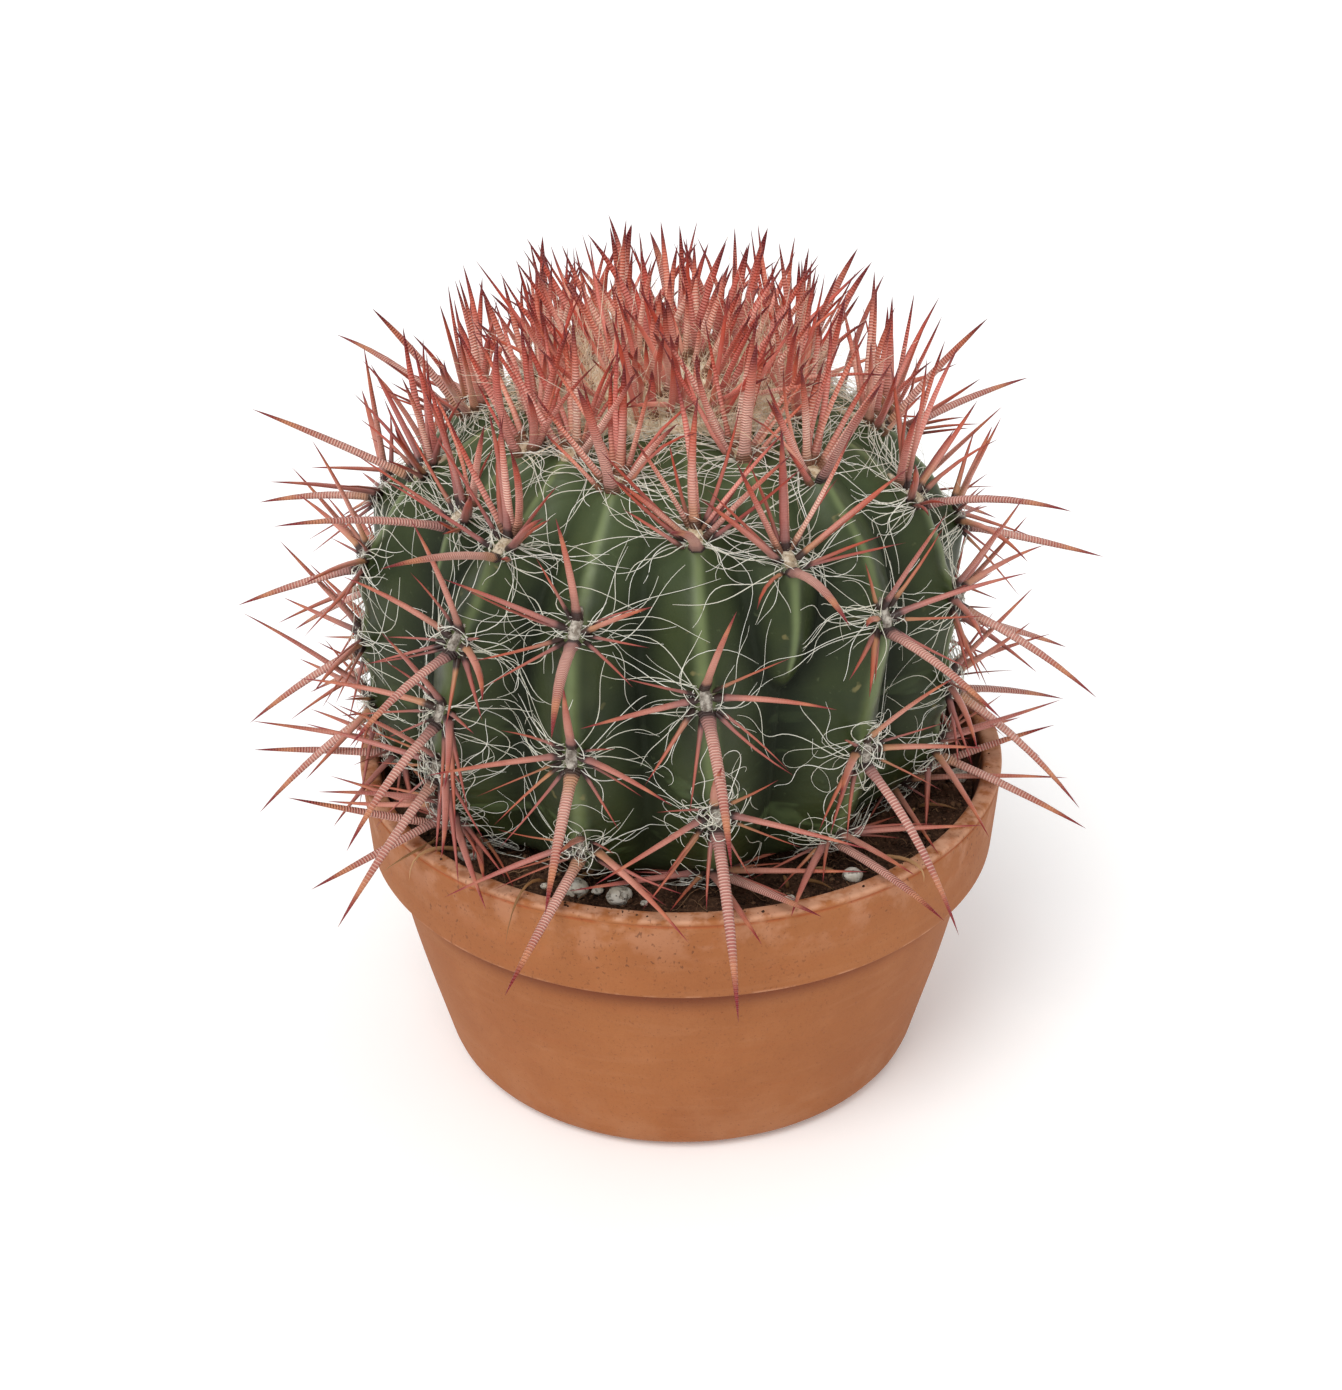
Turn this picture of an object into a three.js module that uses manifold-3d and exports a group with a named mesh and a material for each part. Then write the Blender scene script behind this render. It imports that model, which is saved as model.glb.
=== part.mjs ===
// A round barrel cactus in a low clay pan.
// Millimetres, +Z up. The origin is the centre of the pot's foot, on the surface that it stands on.
// Azimuths are in degrees, 0 towards -Y and positive towards +X.
import * as THREE from 'three';
import { ParametricGeometry } from 'three/addons/geometries/ParametricGeometry.js';
import { mergeVertices } from 'three/addons/utils/BufferGeometryUtils.js';
import Module from 'manifold-3d';

const wasm = await Module();
wasm.setup();

// The clay pan
const POT_HEIGHT = 127;
const RIM_RADIUS = 125;
const RIM_INNER_RADIUS = 118;
const LIP_ROUNDING = 1.6;
const BAND_HEIGHT = 35;
const BAND_LOW_RADIUS = 122.6;
const BODY_TOP_RADIUS = 116;
const FOOT_RADIUS = 94.3;
const FOOT_ROUNDING = 8;
const INNER_SHOULDER_RADIUS = 110.5;
const INNER_FOOT_RADIUS = 88.5;
const FLOOR_THICKNESS = 12;
const DRAIN_RADIUS = 11;
const ROUND_SIDES = 48;

// The gap left between pieces that touch
const GAP = 0.35;

// The soil
const SOIL_HEIGHT = 115;
const SOIL_RELIEF = 1.1;

// The green body: its centre, how far its top leans to the right, its widest height, and how its
// outline rounds in above and below
const BODY_CENTRE = new THREE.Vector3(-7, 6, 0);
const LEAN = { from: 185, to: 272, right: 4 };
const BODY_RADIUS = 112.6;
const WIDEST_HEIGHT = 198;
const UPPER_RISE = 77;
const UPPER_POWER = 2.05;
const LOWER_DROP = 86;
const LOWER_POWER = 4.5;
const CROWN_RADIUS = 36;
const SEAT_DEPTH = 1.6;
const STUB_RADIUS = 34;
const STUB_DEPTH = 20;
const ROWS_UP_THE_BODY = 18;
const COLUMNS_A_RIB = 4;

// The ribs: azimuth near the soil and near the crown, how far below the crown the first areole
// sits, the step to the next one, how far the crest swells out, and, for a rib that was added
// as the plant grew, the height that it starts from.
const RIBS = [
  { low: -138, high: -140, first: 30, gap: 50, swell: 0.000 },
  { low: -121, high: -120, first: 24, gap: 40, swell: -0.005, start: 192 },
  { low: -108, high: -100, first: 40, gap: 50, swell: 0.018 },
  { low: -78, high: -80, first: 14, gap: 46, swell: 0.012 },
  { low: -62, high: -56, first: 28, gap: 36, swell: -0.012, start: 214 },
  { low: -47, high: -38, first: 22, gap: 42, swell: 0.004 },
  { low: -15, high: -17, first: 31, gap: 55, swell: 0.000 },
  { low: 10, high: 6, first: 52, gap: 56, swell: 0.000 },
  { low: 23, high: 26, first: 19, gap: 46, swell: -0.008, start: 196 },
  { low: 37, high: 45, first: 36, gap: 58, swell: 0.006 },
  { low: 70, high: 69, first: 14, gap: 50, swell: 0.010 },
  { low: 99, high: 90, first: 42, gap: 52, swell: 0.004 },
  { low: 129, high: 113, first: 20, gap: 48, swell: -0.004 },
  { low: 146, high: 134, first: 34, gap: 40, swell: -0.010, start: 205 },
  { low: 161, high: 156, first: 28, gap: 54, swell: 0.005 },
  { low: 191, high: 178, first: 44, gap: 50, swell: 0.000 },
  { low: 207, high: 200, first: 22, gap: 40, swell: -0.008, start: 220 },
];
const RIB_DEPTH = 0.60;
const CREST_ROUNDING = 0.2;
const SHORT_RIB_HALF_WIDTH = 10;
const SHORT_RIB_OPENING = 42;
const SHORT_RIB_SINK = 0.14;
const RIB_TURN = { from: 130, to: 250 };
const FOOT_FADE = 22;
const SHOULDER_FADE = 24;
const SHOULDER_SHARE = 0.3;
const CROWN_FADE = 1.6;
const GAP_SHRINK = 0.84;
const LOWEST_AREOLE = 20;

// The length and root width of each kind of spine
const SPINE = {
  down: { length: 62, width: 4.3, bent: true },
  up: { length: 50, width: 3.2, bent: false },
  side: { length: 47, width: 3.1, bent: false },
  radial: { length: 32, width: 2.3, bent: false },
  crown: { length: 46, width: 2.7, bent: false },
};
const YOUNG = { from: 20, hangingFrom: 64, to: 125 };
const YOUNG_LIFT = 0.62;
const OLD = { from: 120, to: 200 };
const OLD_DROOP = 0.10;
const OLD_GROWTH = 0.17;
const SPINE_FLATNESS = 0.6;
const ROOT_DEPTH = 3.4;
const REACH_CENTRE_X = -2;
const REACH_RADIUS = 163;
const SPINE_CLEARANCE = 1.5;
const LOWEST_TIP = 104;
const HIGHEST_TIP = 323;
const TIP_FALL = 0.002;
const SPINE_GAP = 0.7;

// The woolly crown
const WOOL_RADIUS = 37;
const WOOL_RISE = 11;
const WOOL_SIDES = 24;
const CROWN_RINGS = [
  { radius: 5, count: 4, lean: 6, grown: 0.68 },
  { radius: 14, count: 9, lean: 17, grown: 0.78 },
  { radius: 23, count: 13, lean: 31, grown: 0.90 },
  { radius: 32, count: 17, lean: 49, grown: 1 },
];

// The pumice pebbles on the soil: azimuth, distance from the pot's axis and half size
const PEBBLES = [
  { azimuth: -66, distance: 101, size: 4.4 },
  { azimuth: -51, distance: 102, size: 3.6 },
  { azimuth: -24, distance: 96, size: 4.6 },
  { azimuth: -14, distance: 95, size: 4.2 },
  { azimuth: 38, distance: 101, size: 3.4 },
  { azimuth: 84, distance: 108, size: 3.8 },
  { azimuth: 131, distance: 107, size: 4.3 },
  { azimuth: 168, distance: 110, size: 3.9 },
  { azimuth: 205, distance: 109, size: 4.6 },
  { azimuth: 247, distance: 108, size: 3.5 },
];
const PEBBLE_SINK = 0.35;

const COLOURS = {
  clay: { color: 0xc0774a, roughness: 0.85, metalness: 0 },
  soil: { color: 0x3a2b22, roughness: 1.0, metalness: 0 },
  pumice: { color: 0xc9c2b4, roughness: 0.95, metalness: 0 },
  green: { color: 0x4a6b49, roughness: 0.45, metalness: 0 },
  wool: { color: 0xc9694f, roughness: 0.8, metalness: 0 },
};

// Numbers between 0 and 1 that are the same on every run
function seededDraws(seed) {
  let state = seed;
  return () => {
    state = (state * 1664525 + 1013904223) % 4294967296;
    return state / 4294967296;
  };
}

function spread(draw, share) {
  return 1 + share * (2 * draw() - 1);
}

function radians(degrees) {
  return degrees * Math.PI / 180;
}

function smooth(from, to, x) {
  const t = Math.min(Math.max((x - from) / (to - from), 0), 1);
  return t * t * (3 - 2 * t);
}

function polar(azimuth, distance, height) {
  return new THREE.Vector3(distance * Math.sin(azimuth), -distance * Math.cos(azimuth), height);
}

// Joins the vertices that meet and drops the triangles that have no area
function welded(geometry) {
  geometry.deleteAttribute('normal');
  geometry.deleteAttribute('uv');
  const merged = mergeVertices(geometry, 1e-3);
  const kept = [];
  for (let i = 0; i < merged.index.count; i += 3) {
    const [a, b, c] = [merged.index.getX(i), merged.index.getX(i + 1), merged.index.getX(i + 2)];
    if (a !== b && b !== c && c !== a) kept.push(a, b, c);
  }
  merged.setIndex(kept);
  return merged;
}

function toSolid(geometry) {
  const clean = welded(geometry);
  return new wasm.Manifold(new wasm.Mesh({
    numProp: 3,
    vertProperties: Float32Array.from(clean.attributes.position.array),
    triVerts: Uint32Array.from(clean.index.array),
  }));
}

function toGeometry(solid) {
  const mesh = solid.getMesh();
  const geometry = new THREE.BufferGeometry();
  geometry.setAttribute('position', new THREE.BufferAttribute(mesh.vertProperties, 3));
  geometry.setIndex(new THREE.BufferAttribute(mesh.triVerts, 1));
  return geometry;
}

// The largest connected skin of a mesh: it leaves out the small hollows that joining seals
function outerSkin(geometry) {
  const index = geometry.index;
  const parent = Array.from({ length: geometry.attributes.position.count }, (_, i) => i);
  const root = (i) => {
    let top = i;
    while (parent[top] !== top) {
      parent[top] = parent[parent[top]];
      top = parent[top];
    }
    return top;
  };
  for (let i = 0; i < index.count; i += 3) {
    parent[root(index.getX(i))] = root(index.getX(i + 1));
    parent[root(index.getX(i + 1))] = root(index.getX(i + 2));
  }
  const faces = new Map();
  for (let i = 0; i < index.count; i += 3) {
    const skin = root(index.getX(i));
    if (!faces.has(skin)) faces.set(skin, []);
    faces.get(skin).push(index.getX(i), index.getX(i + 1), index.getX(i + 2));
  }
  const largest = [...faces.values()].reduce((a, b) => (a.length > b.length ? a : b));
  geometry.setIndex(largest);
  return geometry;
}

function joined(geometries) {
  let whole = toSolid(geometries[0]);
  for (const geometry of geometries.slice(1)) {
    whole = whole.add(toSolid(geometry));
  }
  return outerSkin(welded(toGeometry(whole)));
}

function named(name, geometry, finish) {
  geometry.computeVertexNormals();
  const mesh = new THREE.Mesh(geometry, new THREE.MeshStandardMaterial(finish));
  mesh.name = name;
  return mesh;
}

// A closed surface of revolution about Z, from an outline of [radius, height] that runs
// anticlockwise when the radius points right.
function turned(outline, sides = ROUND_SIDES) {
  const points = outline.map(([radius, height]) => new THREE.Vector2(radius, height));
  const geometry = new THREE.LatheGeometry(points, sides);
  geometry.rotateX(Math.PI / 2);
  return welded(geometry);
}

// The crest line of the green body: its radius at a height
function crestRadius(height) {
  const above = height > WIDEST_HEIGHT;
  const reach = above ? UPPER_RISE : LOWER_DROP;
  const power = above ? UPPER_POWER : LOWER_POWER;
  const share = Math.min(Math.abs(height - WIDEST_HEIGHT) / reach, 1);
  return BODY_RADIUS * Math.pow(1 - Math.pow(share, power), 1 / power);
}

// The same line as points a small step apart, with the distance along it from the soil up
const CREST = (() => {
  const points = [];
  const steps = 600;
  const top = WIDEST_HEIGHT + UPPER_RISE * Math.pow(
    1 - Math.pow(CROWN_RADIUS / BODY_RADIUS, UPPER_POWER), 1 / UPPER_POWER);
  let length = 0;
  for (let i = 0; i <= steps; i += 1) {
    const turn = (i / steps) * Math.PI / 2;
    const height = SOIL_HEIGHT + (top - SOIL_HEIGHT) * Math.sin(turn);
    const radius = crestRadius(height);
    const last = points[points.length - 1];
    if (last) length += Math.hypot(radius - last.radius, height - last.height);
    points.push({ radius, height, length });
  }
  return points;
})();
const CREST_LENGTH = CREST[CREST.length - 1].length;
const CROWN_HEIGHT = CREST[CREST.length - 1].height;

function crestAt(length) {
  let low = 0;
  let high = CREST.length - 1;
  while (high - low > 1) {
    const middle = (low + high) >> 1;
    if (CREST[middle].length > length) high = middle;
    else low = middle;
  }
  const [a, b] = [CREST[low], CREST[high]];
  const t = THREE.MathUtils.clamp((length - a.length) / (b.length - a.length), 0, 1);
  return {
    radius: a.radius + t * (b.radius - a.radius),
    height: a.height + t * (b.height - a.height),
  };
}

// How far open a short rib is, from a sliver that never quite closes up to its full width
function opening(share) {
  return Math.sqrt(THREE.MathUtils.clamp(share, 0.0025, 1));
}

// Each rib at a height: the azimuth of its crest and of the valleys on its two sides.
// A rib that starts higher up is a sliver below its start, and opens with a round end.
function ribsAt(height) {
  const turn = smooth(RIB_TURN.from, RIB_TURN.to, height);
  const ribs = RIBS.map((rib) => ({
    crest: radians(rib.low + turn * (rib.high - rib.low)),
    swell: rib.swell * smooth(SOIL_HEIGHT, WIDEST_HEIGHT, height),
    open: rib.start ? opening((height - rib.start) / SHORT_RIB_OPENING) : 1,
    short: Boolean(rib.start),
  }));
  const half = radians(SHORT_RIB_HALF_WIDTH);
  ribs.forEach((rib, i) => {
    const next = ribs[(i + 1) % ribs.length];
    const wrap = i + 1 === ribs.length ? 2 * Math.PI : 0;
    let valley = (rib.crest + next.crest + wrap) / 2;
    if (rib.short) valley = rib.crest + half * rib.open;
    if (next.short) valley = next.crest + wrap - half * next.open;
    rib.right = valley;
    next.left = valley - wrap;
  });
  return ribs;
}

// How far the valleys between the ribs are sunk: they run out at the soil and at the crown
function ribFade(height) {
  const foot = smooth(SOIL_HEIGHT - 1, SOIL_HEIGHT + FOOT_FADE, height);
  const shoulder = 1 - SHOULDER_SHARE * smooth(CROWN_HEIGHT - SHOULDER_FADE, CROWN_HEIGHT, height);
  const rim = 1 - smooth(CROWN_HEIGHT - CROWN_FADE, CROWN_HEIGHT, height);
  return foot * shoulder * rim;
}

// The middle of the green body at a height: it stands straight lower down and leans above
function centreAt(height) {
  const shift = LEAN.right * smooth(LEAN.from, LEAN.to, height);
  return BODY_CENTRE.clone().add(new THREE.Vector3(shift, 0, 0));
}

// How deep a flank lies, from 0 on the crest to 1 in the valley: straight, but rounded at the crest
function flank(across) {
  const least = CREST_ROUNDING;
  return (Math.hypot(across, least) - least) / (Math.hypot(1, least) - least);
}

// A point on the green body: `across` runs from -1 in the left valley to 1 in the right one
function bodyPoint(rib, across, length) {
  const { radius, height } = crestAt(length);
  const side = across < 0 ? rib.crest - rib.left : rib.right - rib.crest;
  const azimuth = rib.crest + across * side;
  const width = radius * (rib.right - rib.left) / 2;
  const depth = RIB_DEPTH * width * flank(across);
  const sunk = SHORT_RIB_SINK * radius * (1 - rib.open);
  const crest = radius * (1 + rib.swell * (1 - Math.abs(across)));
  return polar(azimuth, crest - (depth + sunk) * ribFade(height), height).add(centreAt(height));
}

// The green body from its stub in the soil up to the seat of the crown
function bodyGeometry() {
  const columns = RIBS.length * COLUMNS_A_RIB;
  const foot = crestAt(0).radius;
  const low = [
    { radius: 0, height: SOIL_HEIGHT - STUB_DEPTH },
    { radius: STUB_RADIUS, height: SOIL_HEIGHT - STUB_DEPTH },
    { radius: foot * 0.8, height: SOIL_HEIGHT - STUB_DEPTH * 0.45 },
  ];
  const high = [
    { radius: CROWN_RADIUS - 3, height: CROWN_HEIGHT - SEAT_DEPTH },
    { radius: 0, height: CROWN_HEIGHT - SEAT_DEPTH },
  ];
  const rows = low.length + ROWS_UP_THE_BODY + high.length;
  const point = (u, v, target) => {
    const column = Math.round(u * columns) % columns;
    const row = Math.round(v * (rows - 1));
    const index = Math.floor(column / COLUMNS_A_RIB);
    const across = 2 * (column % COLUMNS_A_RIB) / COLUMNS_A_RIB - 1;
    const onBody = row - low.length;
    if (onBody >= 0 && onBody < ROWS_UP_THE_BODY) {
      const length = CREST_LENGTH * onBody / (ROWS_UP_THE_BODY - 1);
      const rib = ribsAt(crestAt(length).height)[index];
      target.copy(bodyPoint(rib, across, length));
      return;
    }
    const ring = onBody < 0 ? low[row] : high[onBody - ROWS_UP_THE_BODY];
    const rib = ribsAt(ring.height)[index];
    const side = across < 0 ? rib.crest - rib.left : rib.right - rib.crest;
    target.copy(polar(rib.crest + across * side, ring.radius, ring.height));
    target.add(centreAt(ring.height));
  };
  return new ParametricGeometry(point, columns, rows - 1);
}

// Where an areole sits, and its three directions: out of the rib, up along it, and to its right
function areoleFrame(index, length) {
  const at = (distance) => {
    const rib = ribsAt(crestAt(distance).height)[index];
    return bodyPoint(rib, 0, distance);
  };
  const place = at(length);
  const up = at(Math.min(length + 2, CREST_LENGTH)).sub(at(length - 2)).normalize();
  const away = place.clone().sub(centreAt(place.z)).setZ(0).normalize();
  const right = new THREE.Vector3(-away.y, away.x, 0);
  const out = new THREE.Vector3().crossVectors(right, up).normalize();
  return { place, out, up, right: new THREE.Vector3().crossVectors(up, out) };
}

// Every areole, rib by rib from the crown down, with its distance from the crown
function areoles() {
  const list = [];
  RIBS.forEach((rib, index) => {
    let down = rib.first;
    let gap = rib.gap;
    while (CREST_LENGTH - down > LOWEST_AREOLE) {
      const length = CREST_LENGTH - down;
      const onRib = !rib.start || crestAt(length).height > rib.start + 14;
      if (onRib) list.push({ index, length, down });
      down += gap;
      gap *= GAP_SHRINK;
    }
  });
  return list;
}

// The middle line of a spine: straight at first, then bending by `bend` towards `towards`
function spinePoint(spine, t) {
  return spine.root.clone()
    .addScaledVector(spine.along, spine.length * t)
    .addScaledVector(spine.towards, spine.length * spine.bend * t * t);
}

// A three-sided needle along that line, with its root sunk in
function spineGeometry(spine) {
  const flat = new THREE.Vector3().crossVectors(spine.along, spine.towards).normalize();
  const deep = new THREE.Vector3().crossVectors(spine.along, flat);
  const rows = [
    { t: -ROOT_DEPTH / spine.length, grow: 0 },
    { t: -ROOT_DEPTH / spine.length, grow: 1 },
    { t: 1, grow: 0 },
  ];
  if (spine.bent) rows.splice(2, 0, { t: 0.55, grow: 0.72 });
  const stacks = rows.length - 1;
  const point = (u, v, target) => {
    const row = rows[Math.round(v * stacks)];
    const turn = 2 * Math.PI * u + Math.PI / 2;
    target.copy(spinePoint(spine, row.t));
    target.addScaledVector(flat, 0.5 * spine.width * row.grow * Math.cos(turn));
    target.addScaledVector(deep, 0.5 * spine.width * row.grow * SPINE_FLATNESS * Math.sin(turn));
  };
  return new ParametricGeometry(point, 3, stacks);
}

// The distance of a point from the clay of the pot and from the soil, negative inside
function clearance(point) {
  const radius = Math.hypot(point.x, point.y);
  const soil = radius < RIM_INNER_RADIUS ? point.z - SOIL_HEIGHT - 2 : 99;
  const overRim = point.z - POT_HEIGHT;
  const outside = radius - RIM_RADIUS;
  const inside = RIM_INNER_RADIUS - radius;
  const rim = Math.max(overRim, outside, inside);
  const pebbles = PEBBLES.map((pebble) => {
    const centre = pebbleCentre(pebble);
    return centre.distanceTo(point) - 1.3 * pebble.size;
  });
  return Math.min(soil, rim, ...pebbles);
}

// Tilts a spine up until it clears the pot, and shortens it to the plant's reach: a widest
// radius, and a dome over the top that falls with the square of the distance from the middle
function settled(spine) {
  const needed = SPINE_CLEARANCE + spine.width / 2;
  const isFree = () => {
    for (let t = 0.1; t <= 1.001; t += 0.05) {
      if (clearance(spinePoint(spine, t)) < needed) return false;
    }
    return spinePoint(spine, 1).z > LOWEST_TIP;
  };
  while (!isFree()) {
    spine.along.z += 0.08;
    spine.along.normalize();
    spine.bend *= 0.9;
  }
  const isWithin = () => {
    const tip = spinePoint(spine, 1);
    const reach = Math.hypot(tip.x - REACH_CENTRE_X, tip.y);
    return reach <= REACH_RADIUS && tip.z <= HIGHEST_TIP - TIP_FALL * reach * reach;
  };
  while (!isWithin()) spine.length *= 0.99;
  return spine;
}

// The spines of one areole: four strong ones in a cross and a thin one beside the lowest.
// Young ones near the crown stand up, and the oldest hang over the rim. The lowest spine is the
// first to tip over. `root` is how far right and up of the areole's middle a spine starts.
function areoleSpines(areole, frame, others, draw) {
  const standing = 1 - smooth(YOUNG.from, YOUNG.to, areole.down);
  const fresh = 1 - smooth(YOUNG.from, YOUNG.hangingFrom, areole.down);
  const old = smooth(OLD.from, OLD.to, areole.down);
  const hand = draw() < 0.5 ? -1 : 1;
  const kinds = [
    { size: SPINE.down, root: [0, -3.6], out: 0.90, up: -0.36, right: 0, bend: 0.16 + 0.12 * old },
    { size: SPINE.up, root: [0, 3.6], out: 0.55, up: 0.80, right: 0, bend: 0.05 },
    { size: SPINE.side, root: [-2.9, 0.4], out: 0.55, up: 0.15, right: -0.80, bend: 0.10 },
    { size: SPINE.side, root: [2.9, 0.4], out: 0.55, up: 0.15, right: 0.80, bend: 0.10 },
    { size: SPINE.radial, root: [4.2 * hand, -3.0], out: 0.42, up: -0.62, right: 0.62 * hand,
      bend: 0.04 },
  ];
  const aimed = (kind) => {
    const young = kind.size === SPINE.down ? fresh : standing;
    const along = new THREE.Vector3()
      .addScaledVector(frame.out, kind.out)
      .addScaledVector(frame.up, kind.up * (1 - 0.8 * young) + 0.16 * (draw() - 0.5))
      .addScaledVector(frame.right, kind.right + 0.3 * (draw() - 0.5));
    along.z += YOUNG_LIFT * young - OLD_DROOP * old;
    along.normalize();
    return settled({
      root: frame.place.clone()
        .addScaledVector(frame.right, kind.root[0])
        .addScaledVector(frame.up, kind.root[1]),
      along,
      towards: new THREE.Vector3(0, 0, -1).addScaledVector(frame.up, -0.4).normalize(),
      length: kind.size.length * spread(draw, 0.12) * (1 + OLD_GROWTH * old),
      width: kind.size.width,
      bend: kind.bend * (1 - 0.7 * young),
      bent: kind.size.bent,
    });
  };
  const spines = [];
  for (const kind of kinds) {
    for (let attempt = 0; attempt < 6; attempt += 1) {
      const spine = aimed(kind);
      if (isClear(spine, others)) {
        spines.push(spine);
        break;
      }
    }
  }
  return spines;
}

// The narrowest gap between two spines, negative where they would cross
function spineGap(one, other) {
  let least = Infinity;
  if (one.root.distanceTo(other.root) > 1.2 * (one.length + other.length)) return least;
  for (let a = 0; a <= 1; a += 0.05) {
    const point = spinePoint(one, a);
    for (let b = 0; b <= 1; b += 0.05) {
      const flesh = 0.5 * (one.width * (1 - 0.8 * a) + other.width * (1 - 0.8 * b));
      least = Math.min(least, point.distanceTo(spinePoint(other, b)) - flesh);
    }
  }
  return least;
}

function isClear(spine, others) {
  return others.every((other) => spineGap(spine, other) > SPINE_GAP);
}

function woolHeight(distance) {
  const share = Math.min(distance / WOOL_RADIUS, 1);
  return CROWN_HEIGHT + WOOL_RISE * Math.sqrt(1 - share * share * 0.92) - 1.2;
}

function woolGeometry() {
  const seat = CROWN_HEIGHT - SEAT_DEPTH + GAP;
  const outline = [[0, seat], [CROWN_RADIUS - 3.5, seat], [WOOL_RADIUS - 1, CROWN_HEIGHT + 1]];
  for (const share of [1, 0.86, 0.66, 0.42, 0.2, 0]) {
    outline.push([WOOL_RADIUS * share, woolHeight(WOOL_RADIUS * share)]);
  }
  const geometry = turned(outline, WOOL_SIDES);
  const centre = centreAt(CROWN_HEIGHT);
  geometry.translate(centre.x, centre.y, 0);
  return geometry;
}

// The young spines that stand in the wool, each clear of the spines on the ribs
function crownSpines(others, draw) {
  const spines = [];
  for (const ring of CROWN_RINGS) {
    for (let i = 0; i < ring.count; i += 1) {
      for (let attempt = 0; attempt < 12; attempt += 1) {
        const azimuth = 2 * Math.PI * (i + 0.6 * draw()) / ring.count;
        const lean = radians(ring.lean * spread(draw, 0.5));
        const along = polar(azimuth + 0.5 * (draw() - 0.5), Math.sin(lean), Math.cos(lean));
        const distance = ring.radius * spread(draw, 0.08);
        const spine = {
          root: polar(azimuth, distance, woolHeight(distance)).add(centreAt(CROWN_HEIGHT)),
          along,
          towards: polar(azimuth, 1, 0.2).normalize(),
          length: SPINE.crown.length * ring.grown * spread(draw, 0.12),
          width: SPINE.crown.width,
          bend: 0.05 * (draw() - 0.4),
          bent: SPINE.crown.bent,
        };
        if (isClear(spine, [...others, ...spines])) {
          spines.push(spine);
          break;
        }
      }
    }
  }
  return spines;
}

function pebbleCentre(pebble) {
  const height = SOIL_HEIGHT + (1 - 2 * PEBBLE_SINK) * pebble.size * 0.8;
  return polar(radians(pebble.azimuth), pebble.distance, height);
}

// An angular pumice pebble: a coarse ball, squashed and with its corners moved in and out
function pebbleGeometry(pebble, grow, seed) {
  const draw = seededDraws(seed);
  const ball = welded(new THREE.DodecahedronGeometry(1, 0));
  const centre = pebbleCentre(pebble);
  const position = ball.attributes.position;
  for (let i = 0; i < position.count; i += 1) {
    const swell = pebble.size * spread(draw, 0.12) + grow;
    position.setXYZ(
      i,
      centre.x + position.getX(i) * swell * 1.08,
      centre.y + position.getY(i) * swell,
      centre.z + position.getZ(i) * swell * 0.8,
    );
  }
  return ball;
}

function potOutline() {
  const band = POT_HEIGHT - BAND_HEIGHT;
  const foot = FOOT_RADIUS;
  return [
    [DRAIN_RADIUS, 0],
    [foot - FOOT_ROUNDING, 0],
    [foot - FOOT_ROUNDING * 0.35, FOOT_ROUNDING * 0.25],
    [foot, FOOT_ROUNDING],
    [BODY_TOP_RADIUS, band],
    [BAND_LOW_RADIUS - 0.9, band],
    [BAND_LOW_RADIUS, band + 1.2],
    [RIM_RADIUS, POT_HEIGHT - 2.2 * LIP_ROUNDING],
    [RIM_RADIUS - 0.6 * LIP_ROUNDING, POT_HEIGHT - 0.6 * LIP_ROUNDING],
    [RIM_RADIUS - 1.6 * LIP_ROUNDING, POT_HEIGHT],
    [RIM_INNER_RADIUS + LIP_ROUNDING, POT_HEIGHT],
    [RIM_INNER_RADIUS, POT_HEIGHT - LIP_ROUNDING],
    [INNER_SHOULDER_RADIUS, band + 3],
    [INNER_FOOT_RADIUS, FLOOR_THICKNESS + 4],
    [INNER_FOOT_RADIUS - 4, FLOOR_THICKNESS],
    [DRAIN_RADIUS, FLOOR_THICKNESS],
    [DRAIN_RADIUS, 0],
  ];
}

// The inner wall's radius at a height, on its slanted stretches
function innerRadius(height) {
  const band = POT_HEIGHT - BAND_HEIGHT + 3;
  if (height > band) {
    const share = (height - band) / (POT_HEIGHT - LIP_ROUNDING - band);
    return INNER_SHOULDER_RADIUS + share * (RIM_INNER_RADIUS - INNER_SHOULDER_RADIUS);
  }
  const share = (height - FLOOR_THICKNESS - 4) / (band - FLOOR_THICKNESS - 4);
  return INNER_FOOT_RADIUS + share * (INNER_SHOULDER_RADIUS - INNER_FOOT_RADIUS);
}

// The soil fills the pot to just below the rim, with an uneven top
function soilGeometry() {
  const band = POT_HEIGHT - BAND_HEIGHT + 3;
  const outline = [
    [0, FLOOR_THICKNESS + GAP],
    [INNER_FOOT_RADIUS - 4.5, FLOOR_THICKNESS + GAP],
    [INNER_FOOT_RADIUS - GAP, FLOOR_THICKNESS + 4 + GAP],
    [INNER_SHOULDER_RADIUS - GAP, band],
    [innerRadius(SOIL_HEIGHT) - 2 * GAP, SOIL_HEIGHT],
    [106, SOIL_HEIGHT],
    [97, SOIL_HEIGHT],
    [0, SOIL_HEIGHT],
  ];
  const soil = turned(outline);
  const draw = seededDraws(31);
  const position = soil.attributes.position;
  for (let i = 0; i < position.count; i += 1) {
    const distance = Math.hypot(position.getX(i), position.getY(i));
    const onTop = Math.abs(position.getZ(i) - SOIL_HEIGHT) < 0.01 && distance > 1;
    if (onTop) position.setZ(i, SOIL_HEIGHT + SOIL_RELIEF * (2 * draw() - 1));
  }
  return soil;
}

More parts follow.
